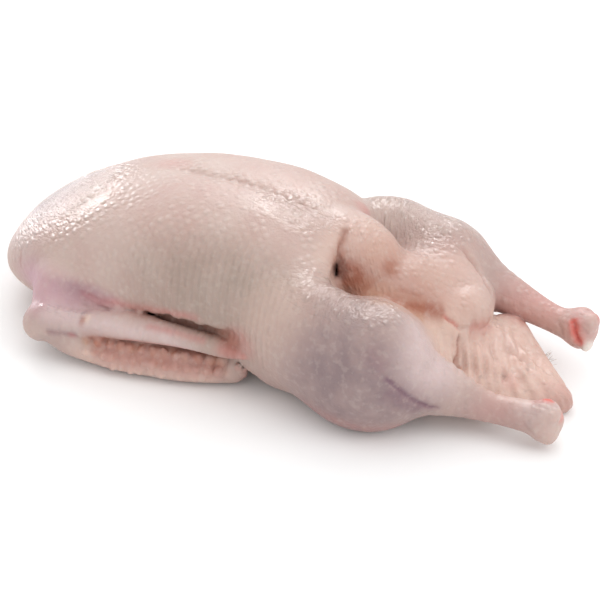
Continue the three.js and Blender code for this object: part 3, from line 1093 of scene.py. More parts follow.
@dataclass
class Legs(Part):
    """Both thighs and drumsticks, left on at the ankle; the two sides don't lie alike."""

    bulge: Egg = Egg((36, 43, 36), (34, 22, 29), yaw=5)
    right_end: Egg = Egg((62.5, 43, 32), (26.5, 24, 31), yaw=-8, pitch=10)
    left_end: Egg = Egg((62.5, 42.5, 31.5), (28, 24, 29.5), yaw=-8, pitch=10)
    root: Egg = Egg((18, 40, 20), (22, 12, 16), yaw=5)
    sag: Egg = Egg((56, 45, 19), (30, 20, 19), yaw=5)
    right_bulge_blend: float = 14
    left_bulge_blend: float = 4
    end_blend: float = 6
    root_blend: float = 8
    shank_blend: float = 7
    knuckle_blend: float = 3
    knuckle_ahead: float = 2
    foot_blend: float = 1.5
    dent_blend: float = 1.2
    right_shank: Sequence[Row] = (
        (64, 45, 30, 22), (92, 34.5, 21.5, 12.8), (112, 30.5, 15.6, 7.8), (124, 28.5, 13.8, 7.2),
        (140, 27, 13, 8.2))
    left_shank: Sequence[Row] = (
        (64, 45, 30, 22), (88, 43.5, 30.5, 12.2), (108, 41.5, 26.3, 8.2), (124, 38.5, 23.4, 7.2),
        (135, 37, 23.4, 9.2))
    right_knuckle: Row = (7.5, 9.5, 10.3)
    left_knuckle: Row = (8, 9.5, 11)
    foot_ends: Sequence[Egg] = (
        Egg((146, -29, 18.5), (3.8, 5.5, 3.6)), Egg((145, -30, 8.5), (4.2, 6, 4.8)),
        Egg((147.5, -25, 13), (2, 4, 4)), Egg((142, 34, 29.5), (4.5, 6, 5)),
        Egg((142, 31, 19.5), (3.4, 5, 4)))
    foot_dents: Sequence[Egg] = (
        Egg((150.5, -31, 15.5), (2.2, 2.2, 2)), Egg((148, 27, 25), (2.5, 3, 3.5)))
    thigh_fold: Sequence[Row] = ((76, -64, 41), (82, -61, 36), (88, -57, 28), (94, -50, 21), (99, -45, 18))
    upper_thigh_fold: Sequence[Row] = ((88, -53, 47), (86, -52, 43), (84, -55, 39))
    foot_fold: Sequence[Row] = ((144, -30, 19), (139, -31, 22), (135, -30, 20))
    foot_fold_step: Row = (-1.1, -1.2)
    foot_fold_places: Row = (-3, -1, 1, 3)
    heel_fold: Sequence[Row] = ((132, -34, 16), (137, -36, 12), (141, -36, 8))
    left_cut: Sequence[Row] = ((134, 31, 32), (136, 28, 29), (138, 26.5, 24), (141, 27, 20))
    left_ankle_fold: Sequence[Row] = ((126, 33, 28), (129, 31, 25), (131, 30, 21))

    def steps(self) -> list[Step]:
        """Forms to join or cut, in order.

        Returns:
            The steps.
        """
        steps = []
        for side, bulge_blend, end in (
            (Side.RIGHT, self.right_bulge_blend, self.right_end),
            (Side.LEFT, self.left_bulge_blend, self.left_end),
        ):
            steps.append(Step(self.on(side, self.bulge), bulge_blend))
            steps.append(Step(self.on(side, end), self.end_blend))
            steps.append(Step(self.on(side, self.root), self.root_blend))
        steps.append(Step(self.on(Side.RIGHT, self.sag), self.root_blend))
        for side, rows, knuckle in (
            (Side.RIGHT, self.right_shank, self.right_knuckle),
            (Side.LEFT, self.left_shank, self.left_knuckle),
        ):
            x, y, z, _ = rows[-1]
            steps.append(Step(Roll(mirrored(rows, side)), self.shank_blend))
            end = Egg((x + self.knuckle_ahead, y * side.value, z), knuckle)
            steps.append(Step(end, self.knuckle_blend))
        steps.extend(Step(egg, self.foot_blend) for egg in self.foot_ends)
        steps.extend(Step(egg, self.dent_blend, cut=True) for egg in self.foot_dents)
        return steps

    def on(self, side: Side, egg: Egg) -> Egg:
        """The same egg on the given side."""
        x, y, z = egg.centre
        return Egg((x, y * side.value, z), egg.radii, egg.yaw * side.value, egg.pitch)

    def foot_folds(self) -> list[Crease]:
        """Folds side by side over the right foot's end.

        Returns:
            The folds.
        """
        ahead, outwards = self.foot_fold_step
        folds = []
        for i in self.foot_fold_places:
            line = [(x + ahead * i, y + outwards * i, z) for x, y, z in self.foot_fold]
            folds.append(Crease(line, width=0.8, depth=0.5))
        return folds

    def reliefs(self) -> list[Relief]:
        """What is pressed into its skin.

        Returns:
            The reliefs.
        """
        foot = Patch((140, -27, 16), (9, 12, 12))
        return [
            Crease(self.thigh_fold, width=1.1, depth=0.9),
            Crease(self.upper_thigh_fold, width=1.6, depth=0.6),
            *self.foot_folds(),
            Crease(self.heel_fold, width=1.0, depth=0.5),
            Crease(self.left_cut, width=1.1, depth=2.0, lip=0.5),
            Crease(self.left_ankle_fold, width=1.3, depth=0.5),
            Ripples(foot, (0.5, 0.8, 0.2), pitch=2.6, depth=0.35, wander=1.0, seed=8),
        ]

    def tints(self) -> dict[Tint, list]:
        """Where its skin takes each tint.

        Returns:
            Patches and streaks of each tint.
        """
        return {
            Tint.MAUVE: [
                Patch((60, -54, 30), (42, 25, 32)),
                Patch((112, -31, 16), (24, 12, 14), amount=0.6),
                Patch((84, 44, 36), (22, 16, 20), amount=0.3),
                Patch((60, 38, 60), (26, 18, 12), amount=0.18),
                Patch((60, 54, 28), (38, 20, 30), amount=0.4),
            ],
            # painted shade: dark plum line in the thigh's fold and soft plum shading beside it
            Tint.PLUM: [
                Streak(self.thigh_fold, width=1.5, amount=0.8),
                Streak(((78, -64, 36), (86, -60, 28), (94, -52, 17)), width=5.0, amount=0.4),
                Streak(((68, -61, 53), (72, -61, 47), (78, -61, 43)), width=4.0, amount=0.35),
            ],
            Tint.ROSY: [
                Streak(((30, -58, 8), (50, -64, 10), (70, -62, 8), (88, -52, 8)), width=5.0, amount=0.3),
                Patch((112, 40, 25), (28, 12, 14), amount=0.55),
                Patch((136, 36, 24), (10, 10, 14), amount=0.5),
                Patch((118, -32, 14), (14, 10, 10), amount=0.25),
                Patch((138, -24, 23), (5, 4, 4), amount=0.5),
            ],
            Tint.RAW: [
                Streak(self.left_cut, width=2.6, fade=0.08),
                Patch((143, 36, 31), (3, 3, 2.5), amount=0.9),
                Patch((142, -23.6, 22.6), (2.6, 2.4, 2.4)),
                Patch((149, -26, 17), (1.8, 3, 3), amount=0.5),
            ],
            Tint.GRISTLE: [
                Patch((143.5, 29, 18), (4, 4, 4.5), soft=0.4),
                Patch((141, 32, 30), (2, 2, 2), amount=0.7),
            ],
            Tint.AMBER: [Streak(((58, -37, 62), (70, -34, 60), (80, -26, 52)), width=4.0, amount=0.6)],
            Tint.PEARL: [
                # painted highlight on the right thigh's upper side; the ankle patches below are paler skin
                Patch((88, -40, 42), (22, 16, 16), amount=0.9),
                Patch((139, 36, 28), (7, 8, 7), amount=0.5),
                Patch((138, -26, 18), (10, 9, 9), amount=0.5),
            ],
            Tint.WET: [
                Patch((46, -42, 62), (32, 17, 12)),
                Patch((56, 42, 62), (32, 18, 12)),
                Patch((84, -40, 44), (16, 14, 12), amount=0.5),
            ],
        }


@dataclass
class Belly(Part):
    """The belly, the vent's edge and the skin that runs from the right leg."""

    belly: Sequence[Row] = (
        (24, 4, 56, 21.5), (35, 3.5, 52, 21.5), (43, 3, 44.5, 19), (58, 4, 34, 20.5), (74, 3, 28, 19),
        (84, 2, 18, 12))
    pelvis: Egg = Egg((56, 0, 20), (37, 36, 19.8))
    inner_thigh: Egg = Egg((68, 24, 33), (26, 19, 21), pitch=8)
    filler: Egg = Egg((61, 6, 44.5), (14, 17, 12), pitch=20)
    vent_lobe: Sequence[Row] = ((79, 9, 34.5, 11), (87, 13.5, 33.5, 12), (85, 24, 33, 12))
    leg_web: Sequence[Row] = ((58, -28, 36, 18), (72, -25, 32, 14), (79, -20, 28, 8.5))
    web_flap: Sequence[Row] = ((72, -20, 37, 6), (86.3, -4.5, 31, 2.4), (92, -19, 20.5, 2.8))
    thigh_side_blend: float = 9
    tail_side_blend: float = 2.5
    blend_turns: Row = (76, 90)
    thigh_line: Sequence[Row] = ((74, 31, 57), (82, 31, 51), (88, 29, 45), (92, 24, 41), (95, 20, 36))
    vent_fold: Sequence[Row] = ((80, -4, 38), (84, -3, 35), (88, -2, 33))
    vent_fold_end: Row = (93, 3, 32)
    breast_folds: Sequence[Sequence[Row]] = (
        ((36, 2, 76), (38, -2, 73), (40, -6, 69)), ((42, 4, 73), (44, -1, 70), (46, -6, 65)))
    web_fold: Sequence[Row] = ((86, -14, 38), (88, -18, 34), (91, -22, 29))

    def edge_blend(self, x: np.ndarray) -> np.ndarray:
        """Width of the rounding: soft among the thighs, crisp near the tail."""
        crisper = self.tail_side_blend - self.thigh_side_blend
        return self.thigh_side_blend + crisper * ease(x, *self.blend_turns)

    def steps(self) -> list[Step]:
        """Forms to join or cut, in order.

        Returns:
            The steps.
        """
        return [
            Step(Roll(self.belly), blend=1.5),
            Step(self.pelvis, blend=6),
            Step(self.inner_thigh, self.edge_blend),
            Step(Roll(self.leg_web), self.edge_blend),
            Step(Roll(self.vent_lobe), blend=3),
            Step(self.filler, blend=8),
            Step(Leaf(self.web_flap), blend=1.5),
        ]

    def reliefs(self) -> list[Relief]:
        """What is pressed into its skin.

        Returns:
            The reliefs.
        """
        side = Patch((58, -10, 53), (24, 14, 14))
        lobe = Patch((78, 18, 48), (18, 18, 14))
        crown = Patch((46, 4, 70), (12, 12, 12))
        upper, lower = self.breast_folds
        return [
            Crease(self.thigh_line, width=1.2, depth=1.3, lip=0.6),
            Crease((*self.vent_fold, self.vent_fold_end), width=1.0, depth=1.3),
            Crease(upper, width=1.6, depth=0.6),
            Crease(lower, width=1.6, depth=0.5),
            Crease(self.web_fold, width=1.0, depth=0.7),
            Ripples(side, (0.1, -0.55, 0.85), pitch=2.6, depth=0.5, wander=0.9, seed=21),
            Ripples(lobe, (0.5, -0.8, 0.2), pitch=3.2, depth=0.3, wander=0.9, seed=22),
            Ripples(crown, (0.9, -0.3, 0.1), pitch=2.8, depth=0.15, wander=1.2, seed=23),
        ]

    def tints(self) -> dict[Tint, list]:
        """Where its skin takes each tint.

        Returns:
            Patches and streaks of each tint.
        """
        amber_crease = ((37, -17, 57), (46, -16, 52), (56, -15, 50), (66, -14, 48), (78, -11, 44))
        shaded_crease_bed = ((56, -18, 50), (66, -14, 48), (76, -8, 45), (84, -4, 41))
        return {
            Tint.AMBER: [
                Streak(amber_crease, width=9.0, fade=0.06),
                Patch((52, -4, 62), (18, 12, 12), amount=0.5),
                Patch((60, -6, 54), (34, 22, 24), amount=0.42),
                Patch((56, -4, 59), (4, 4, 4), amount=0.8),
            ],
            # painted shade on the belly's side in the pocket, in the crease by the right thigh and along
            # the vent fold; the spot at (56, -4, 59) is a real reddish spot
            Tint.RUDDY: [
                Streak(((36, -18, 58), (42, -18, 54), (50, -17, 51)), width=8.0, amount=0.5, fade=0.1),
                Patch((40.5, -16.5, 57.5), (6.5, 6, 7), amount=0.9),
                Patch((56, -4, 59), (4.5, 4.5, 4.5), amount=0.6),
                Patch((68, -13, 48), (10, 5, 6), amount=0.3),
                Streak(self.vent_fold, width=0.9, amount=0.3),
                Streak(shaded_crease_bed, width=4.0, amount=0.85, fade=0.1),
                Streak(((60, -10, 53), (66, -8, 50), (73, -6, 48)), width=1.6, amount=0.5),
            ],
            Tint.RAW: [Streak(self.vent_fold, width=1.0, amount=0.45)],
            Tint.ROSY: [
                Streak(((90, 2, 32), (95, 8, 31), (99, 16, 29)), width=4.0, amount=0.5),
                Patch((76, 14, 50), (24, 20, 18), amount=0.12),
                Patch((54, -6, 58), (26, 20, 22), amount=0.14),
                Patch((30, 24, 70), (6, 5, 5), amount=0.5),
            ],
            Tint.CREAM: [
                Patch((88, -14, 32), (12, 14, 14)),
                Patch((92, 4, 42), (12, 14, 11), amount=0.6),
                Patch((84, 18, 54), (16, 14, 12), amount=0.5),
                Patch((44, 0, 70), (16, 14, 10), amount=0.5),
            ],
        }


@dataclass
class Tail(Part):
    """The flat fatty tail."""

    base: Sequence[Row] = ((84, -22, 11, 10), (90, 18, 17, 11), (140, 1, 5.5, 4.8))
    crown: Sequence[Row] = ((82, -3, 18.5, 14), (93, 14, 19, 10.5), (136, 2, 7, 5))
    far_corner: Sequence[Row] = ((88, 18, 19, 9), (104, 29.5, 19, 4.8), (140, 2, 5.5, 4.2))
    near_corner: Sequence[Row] = ((84, -24, 13, 9), (102, -23, 9, 6), (140, 0, 5, 4))
    far_rim: Sequence[Row] = (
        (101, 30, 19, 5.2), (108, 29.5, 19, 4.8), (117, 23.5, 16, 4.4), (127.5, 16, 12, 4.2),
        (134.5, 9, 8.5, 4.4), (140.5, 1, 6, 4.4))
    crown_blend: float = 5
    corner_blend: float = 4
    rim_blend: float = 3
    body_blend: float = 1.2
    web_crease: Sequence[Row] = ((88.7, -4.5, 31), (92, -10, 27), (94, -13.5, 24.5), (96, -17, 22))
    folds: Sequence[Sequence[Row]] = (
        ((107, 12, 25), (112, 6, 22), (120, 6, 19), (128, 2, 16)),
        ((112, 20, 21), (118, 13, 19), (128, 10, 16), (134, 4, 13)))
    root_fold: Sequence[Row] = ((100, 16, 28), (103, 8, 26), (106, 0, 24), (112, -6, 20))
    follicles: Sequence[Row] = ((106, -15), (115, -8), (123, 2), (126, -9), (120, -17))
    follicle_level: float = 18
    follicle_radii: Row = (0.9, 0.9, 8)

    def steps(self) -> list[Step]:
        """Forms to join or cut, in order.

        Returns:
            The steps.
        """
        body = Cluster([
            (Leaf(self.base), 0),
            (Leaf(self.crown), self.crown_blend),
            (Leaf(self.far_corner), self.corner_blend),
            (Leaf(self.near_corner), self.corner_blend),
            (Roll(self.far_rim), self.rim_blend),
        ])
        return [Step(body, self.body_blend)]

    def reliefs(self) -> list[Relief]:
        """What is pressed into its skin.

        Returns:
            The reliefs.
        """
        root = Patch((106, -4, 22), (18, 28, 18))
        middle = Patch((126, 6, 15), (18, 20, 12))
        tip = Patch((141, -2, 9), (9, 12, 8))
        return [
            Ripples(root, (0.9, 0.42, 0), pitch=4.4, depth=2.3, wander=1.3, seed=31),
            Ripples(middle, (0.8, 0.6, 0), pitch=6.0, depth=1.7, wander=1.6, seed=32),
            Crease(self.web_crease, width=1.0, depth=1.8, lip=0.3, fade=0.08),
            *(Crease(fold, width=1.3, depth=1.2, lip=0.4) for fold in self.folds),
            Crease(self.root_fold, width=1.2, depth=1.0, lip=0.3),
            Ripples(tip, (0.3, 0.95, 0), pitch=3.0, depth=0.8, wander=1.2, seed=33),
        ]

    def tints(self) -> dict[Tint, list]:
        """Where its skin takes each tint.

        Returns:
            Patches and streaks of each tint.
        """
        places = [(x, y, self.follicle_level) for x, y in self.follicles]
        return {
            Tint.CREAM: [Patch((112, 2, 16), (32, 34, 24), soft=0.4)],
            Tint.ROSY: [
                Patch((140, -2, 9), (12, 12, 8), amount=0.3),
                Patch((112, 4, 20), (26, 26, 12), amount=0.14),
                Patch((119, -9, 17), (6, 5, 4), amount=0.35),
            ],
            # the tail's dark follicle dots, the skin's own marks
            Tint.DEEP: [Patch(place, self.follicle_radii, amount=0.35) for place in places],
            Tint.RUDDY: [
                # painted shade along the web crease; the rest is warm red-brown skin
                Patch((142, -4, 9), (9, 9, 8), amount=0.14),
                Patch((110, 31, 22), (3, 2.5, 2.5), amount=0.4),
                Streak(self.web_crease, width=1.0, amount=0.75, fade=0.06),
                Patch((95.8, -16.6, 22), (1.8, 2.2, 2.6), amount=0.8),
            ],
        }


@dataclass
class FeatherStubs:
    """Short stubs of feathers left standing on the tail's far rim."""

    rim: Sequence[Row] = Tail.far_rim
    first: float = 0.50
    last: float = 0.60
    count: int = 9
    length: float = 2.3
    shortest: float = 0.5
    radius: float = 0.2
    taper: float = 0.3
    sides: int = 6
    sunk: float = 1.2
    way: Row = (0.72, 0.66, 0.2)
    spread: float = 0.5
    tint: Tint = Tint.GRISTLE
    seed: int = 41

    def shapes(self) -> tuple[np.ndarray, np.ndarray]:
        """Tapered stubs.

        Returns:
            Points, and rows of four point numbers.
        """
        rng = np.random.default_rng(self.seed)
        line = smooth_rows(self.rim, 8)
        points, squares = [], []
        for share in np.linspace(self.first, self.last, self.count):
            x, y, z, thick = line[int(share * (len(line) - 1))]
            way = np.array(self.way) + rng.uniform(-self.spread, self.spread, 3)
            way /= np.linalg.norm(way)
            across = np.cross(way, (0, 0, 1))
            across /= np.linalg.norm(across)
            over = np.cross(way, across)
            root = np.array((x, y, z)) + way * (thick - self.sunk)
            reach = self.sunk + self.length * rng.uniform(self.shortest, 1.0)
            start = sum(len(part) for part in points)
            for along, radius in ((0, self.radius), (reach, self.taper * self.radius)):
                turn = np.arange(self.sides) * 2 * math.pi / self.sides
                ring = np.cos(turn)[:, None] * across + np.sin(turn)[:, None] * over
                points.append(root + along * way + radius * ring)
            for i in range(self.sides):
                j = (i + 1) % self.sides
                squares.append([start + j, start + i, start + self.sides + i, start + self.sides + j])
            for i in range(1, self.sides // 2):
                top = start + self.sides
                squares.append([top, top + 2 * i - 1, top + 2 * i, top + (2 * i + 1) % self.sides])
        return np.vstack(points), np.array(squares)


@dataclass
class Wings(Part):
    """Both wings, folded flat against the flanks; every size is the left wing's."""

    flank_hollow: Sequence[Row] = (
        (-60, 53, 32.5, 1.2), (-48, 53.5, 31, 3.4), (-38, 54, 30.5, 5.2), (-18, 54, 31, 5.2),
        (-8, 54.5, 32.5, 4.2), (2, 57, 36.5, 2.6), (12, 60.5, 41.5, 1.6), (20, 62.5, 45, 0.8))
    end_gap: Sequence[Row] = ((-8, 42, 19, 1.0), (1, 42, 17.5, 3.2), (7, 43, 12, 3.6), (5, 42, 3, 3.6))
    upper_arm: Sequence[Row] = ((-100, 36, 26, 15), (-60, 41, 18, 9), (-18, 38, 12, 8))
    forearm: Sequence[Row] = (
        (-97, 59, 17.5, 8.4), (-86, 58, 12, 8.6), (-70, 56.5, 9, 8.4), (-55, 55, 8.4, 8),
        (-29, 50.5, 8.4, 8), (-8, 43.5, 8, 6.4))
    quill_band: Sequence[Row] = (
        (-82, 56.5, 14, 6.2), (-55, 54, 14.5, 6.8), (-29, 49.5, 14.5, 6.6), (-9, 42.5, 12.5, 5.4))
    hand: Sequence[Row] = (
        (-102, 61, 18.5, 8.8), (-84, 60, 21.5, 6.4), (-64, 59, 24.6, 4.8), (-37, 56, 26.2, 4.4),
        (-24, 54.8, 26.4, 4.0), (-10, 53.6, 25.6, 3.6), (4.0, 52.8, 24.8, 1.6))
    hand_edge: Sequence[Row] = (
        (-100, 58, 22.5, 7.6), (-84, 56.5, 24, 4.8), (-64, 55.5, 28, 3.6), (-51, 54, 30, 3.6),
        (-30, 53, 28.4, 3.2), (-12, 52.3, 27.2, 2.6), (3.0, 52.4, 25.2, 1.2))
    wrist_skin: Sequence[Row] = ((-101, 58, 19.5, 9), (-98, 44, 25, 14))
    shoulder_skin: Sequence[Row] = ((-100, 44, 33, 9), (-84, 46, 30, 8), (-68, 47, 27, 6))
    scallop: Scallop = Scallop(pitch=11, depth=0.55, phase=0.8)
    hollow_blend: float = 1.2
    arm_blend: float = 6
    skin_blend: float = 9
    gap_blend: float = 1.0
    band_blend: float = 4
    quill_blend: float = 0.6
    forearm_blend: float = 1.5
    hand_blend: float = 0.8
    quill_height: float = 1.3
    quill_lean: float = 20
    upper_quills: Sequence[Row] = ((-78, 62.5, 17), (-55, 60.5, 17), (-29, 55.8, 17), (-8, 48.5, 15.5))
    middle_quills: Sequence[Row] = (
        (-80, 64.5, 11.5), (-55, 62.3, 11.5), (-29, 57.8, 11.5), (-9, 50.5, 11))
    lower_quills: Sequence[Row] = ((-70, 63.5, 7), (-55, 62.0, 6.5), (-29, 57.5, 6.5), (-12, 51, 6.5))
    end_quills: Sequence[Row] = ((-3.5, 48.5, 14.5), (-1.5, 46, 10.5), (-2, 44, 6.5))
    bead_string: Sequence[Row] = ((-102, 63, 29), (-93, 61.5, 28.5), (-84, 60.5, 28), (-74, 59.5, 29))
    wrist_fold: Sequence[Row] = ((-98, 68, 20), (-88, 67, 19.5), (-78, 66, 19.5))
    shoulder_line: Sequence[Row] = ((-86, 50, 36), (-76, 52, 35), (-64, 53, 33.5))
    shoulder_drops: Row = (1.6, 2.3, 2.6)
    shoulder_fold_count: int = 4

    def steps(self) -> list[Step]:
        """Forms to join or cut, in order.

        Returns:
            The steps.
        """
        steps = []
        for side in Side:
            hollow = Roll(mirrored(self.flank_hollow, side), self.scallop)
            steps.append(Step(hollow, self.hollow_blend, cut=True))
            steps.append(Step(Roll(mirrored(self.upper_arm, side)), self.arm_blend))
            steps.append(Step(Roll(mirrored(self.wrist_skin, side)), self.skin_blend))
            steps.append(Step(Roll(mirrored(self.shoulder_skin, side)), self.skin_blend))
            steps.append(Step(Roll(mirrored(self.end_gap, side)), self.gap_blend, cut=True))
            domes = [row.domes(self.quill_height, self.quill_lean) for row in self.quill_rows(side)]
            arm = Cluster([
                (Roll(mirrored(self.forearm, side)), 0),
                (Roll(mirrored(self.quill_band, side)), self.band_blend),
                *((dome, self.quill_blend) for row in domes for dome in row),
            ])
            steps.append(Step(arm, self.forearm_blend))
            hand = Cluster([
                (Roll(mirrored(self.hand, side)), 0),
                (Roll(mirrored(self.hand_edge, side)), self.band_blend),
            ])
            steps.append(Step(hand, self.hand_blend))
        return steps

    def quill_rows(self, side: Side) -> list[Beads]:
        """Rows of quill seats along the forearm, the upper ones coarse and the lower ones fine.

        Args:
            side: the wing's side.

        Returns:
            The upper, middle and lower rows, and the row round the forearm's end.
        """
        upper, middle, lower, end = (
            mirrored(rows, side)
            for rows in (self.upper_quills, self.middle_quills, self.lower_quills, self.end_quills)
        )
        return [
            Beads(upper, pitch=5.4, radius=2.4, rise=2.3, uneven=0.35, seed=3),
            Beads(middle, pitch=5.2, radius=2.3, rise=2.8, uneven=0.35, seed=4),
            Beads(lower, pitch=4.6, radius=2.1, rise=2.1, uneven=0.4, seed=5),
            Beads(end, pitch=3.0, radius=1.5, rise=1.4, uneven=0.3, seed=6),
        ]

    def leading_beads(self, side: Side) -> Beads:
        """String of small bumps along the hand's front edge."""
        return Beads(mirrored(self.bead_string, side), pitch=2.4, radius=1.1, rise=0.6, uneven=0.3, seed=9)

    def shoulder_folds(self, side: Side) -> list[Crease]:
        """Fine folds that fan out from the shoulder along the flank.

        Args:
            side: the wing's side.

        Returns:
            The folds.
        """
        fan = [
            [(x, y, z - drop * i) for (x, y, z), drop in zip(self.shoulder_line, self.shoulder_drops)]
            for i in range(self.shoulder_fold_count)
        ]
        return [Crease(mirrored(rows, side), width=0.9, depth=0.7) for rows in fan]

    def reliefs(self) -> list[Relief]:
        """What is pressed into its skin.

        Returns:
            The reliefs.
        """
        reliefs = []
        for side in Side:
            reliefs += [self.leading_beads(side), *self.shoulder_folds(side)]
            reliefs.append(Crease(mirrored(self.wrist_fold, side), width=1.2, depth=0.6))
        return reliefs

    def tints(self) -> dict[Tint, list]:
        """Where its skin takes each tint.

        Returns:
            Patches and streaks of each tint.
        """
        tints = {tint: [] for tint in Tint}
        for side in Side:
            for tint, places in self.side_tints(side).items():
                tints[tint] += places
        return tints

    def side_tints(self, side: Side) -> dict[Tint, list]:
        """Where one wing's skin takes each tint.

        Args:
            side: the wing's side.

        Returns:
            Patches and streaks of each tint.
        """
        def at(x: float, y: float, z: float, radii: Row, amount: float = 1.0) -> Patch:
            """A place on this side."""
            return Patch((x, y * side.value, z), radii, amount)

        def line(rows: Sequence[Row], width: float, amount: float = 1.0) -> Streak:
            """A band on this side."""
            return Streak(mirrored(rows, side), width, amount, fade=0.1)

        upper, middle, lower, end = self.quill_rows(side)
        flank_edge = ((-86, 50, 35), (-72, 53, 34), (-55, 54, 36), (-36, 55, 38), (-16, 56, 39))
        hand_front = ((-102, 63, 27), (-84, 61, 25), (-60, 60, 26.5), (-37, 57, 27), (-16, 53, 25))
        gap_shade_line = ((-58, 50, 31), (-42, 50, 31), (-24, 49, 31), (-8, 49, 31), (4, 50, 29))
        return {
            Tint.ORCHID: [at(-102, 47, 31, (24, 18, 10)), at(-80, 51, 34, (18, 6, 6), 0.6)],
            Tint.MAUVE: [
                at(-84, 62, 24, (26, 10, 7), 0.35),
                at(-118, 40, 38, (14, 12, 8), 0.15),
                at(-96, 64, 14, (12, 8, 10), 0.3),
            ],
            Tint.PEARL: [line(hand_front, 6.0, 0.75)],
            # painted shade at the shoulder's fold and along the wrist fold
            Tint.PLUM: [at(-84, 51, 36, (16, 6, 5), 0.45), line(((-96, 68, 20), (-78, 66, 20)), 2, 0.4)],
            Tint.ROSY: [
                line(flank_edge, 2.4, 0.6),
                at(-4, 52.6, 26, (8, 5, 4), 0.8),
                at(2, 52, 33, (9, 8, 8), 0.45),
                line(((-76, 63, 12), (-55, 62, 12), (-29, 57.5, 12), (-4, 49, 11)), 7.0, 0.42),
                line(((-48, 58, 30), (-30, 56.5, 29.5), (-14, 54, 27.5)), 2.0, 0.5),
                line(((-60, 63, 22), (-30, 59, 22.5), (-8, 54, 22)), 1.2, 0.5),
                at(-82, 68, 19, (2.5, 3, 2.5), 0.8),
                Tops(end, 0.5),
            ],
            # painted shade in the gap between the breast's edge and the wing
            Tint.DEEP: [line(((-60, 50, 29), (-42, 49, 29), (-24, 48, 28.5), (-10, 47, 28)), 4.5, 0.35)],
            Tint.RAW: [at(3, 52.6, 25, (2.6, 2.4, 1.8), 0.6)],
            # painted shade under the hand and in the gap by the flank; orange-red skin between the quill
            # rows; two small red spots
            Tint.RUDDY: [
                line(((-80, 63, 19.5), (-55, 61, 19.5), (-29, 56, 19.5), (-8, 48, 17.5)), 3.2, 0.85),
                line(((-76, 64, 14), (-55, 62.5, 13.5), (-29, 57.5, 13.5), (-6, 50, 13)), 4.5, 0.5),
                line(gap_shade_line, 5.0, 0.75),
                at(-78, 62, 26, (1.8, 2.5, 3.2), 0.7),
                at(-84, 50.5, 36, (2, 2.5, 2), 0.9),
            ],
            Tint.AMBER: [Tops(upper, 0.9)],
            Tint.WET: [line(((-104, 62, 28), (-93, 62, 28), (-84, 61, 28), (-74, 60, 29)), 3.0)],
            Tint.CREAM: [
                Tops(middle, 0.9),
                Tops(lower, 0.9),
                line(((-88, 66, 9), (-55, 63, 8), (-29, 58.5, 8), (-8, 50, 8)), 5.0, 0.6),
                at(-76, 62, 29, (2, 2.5, 2)),
            ],
        }


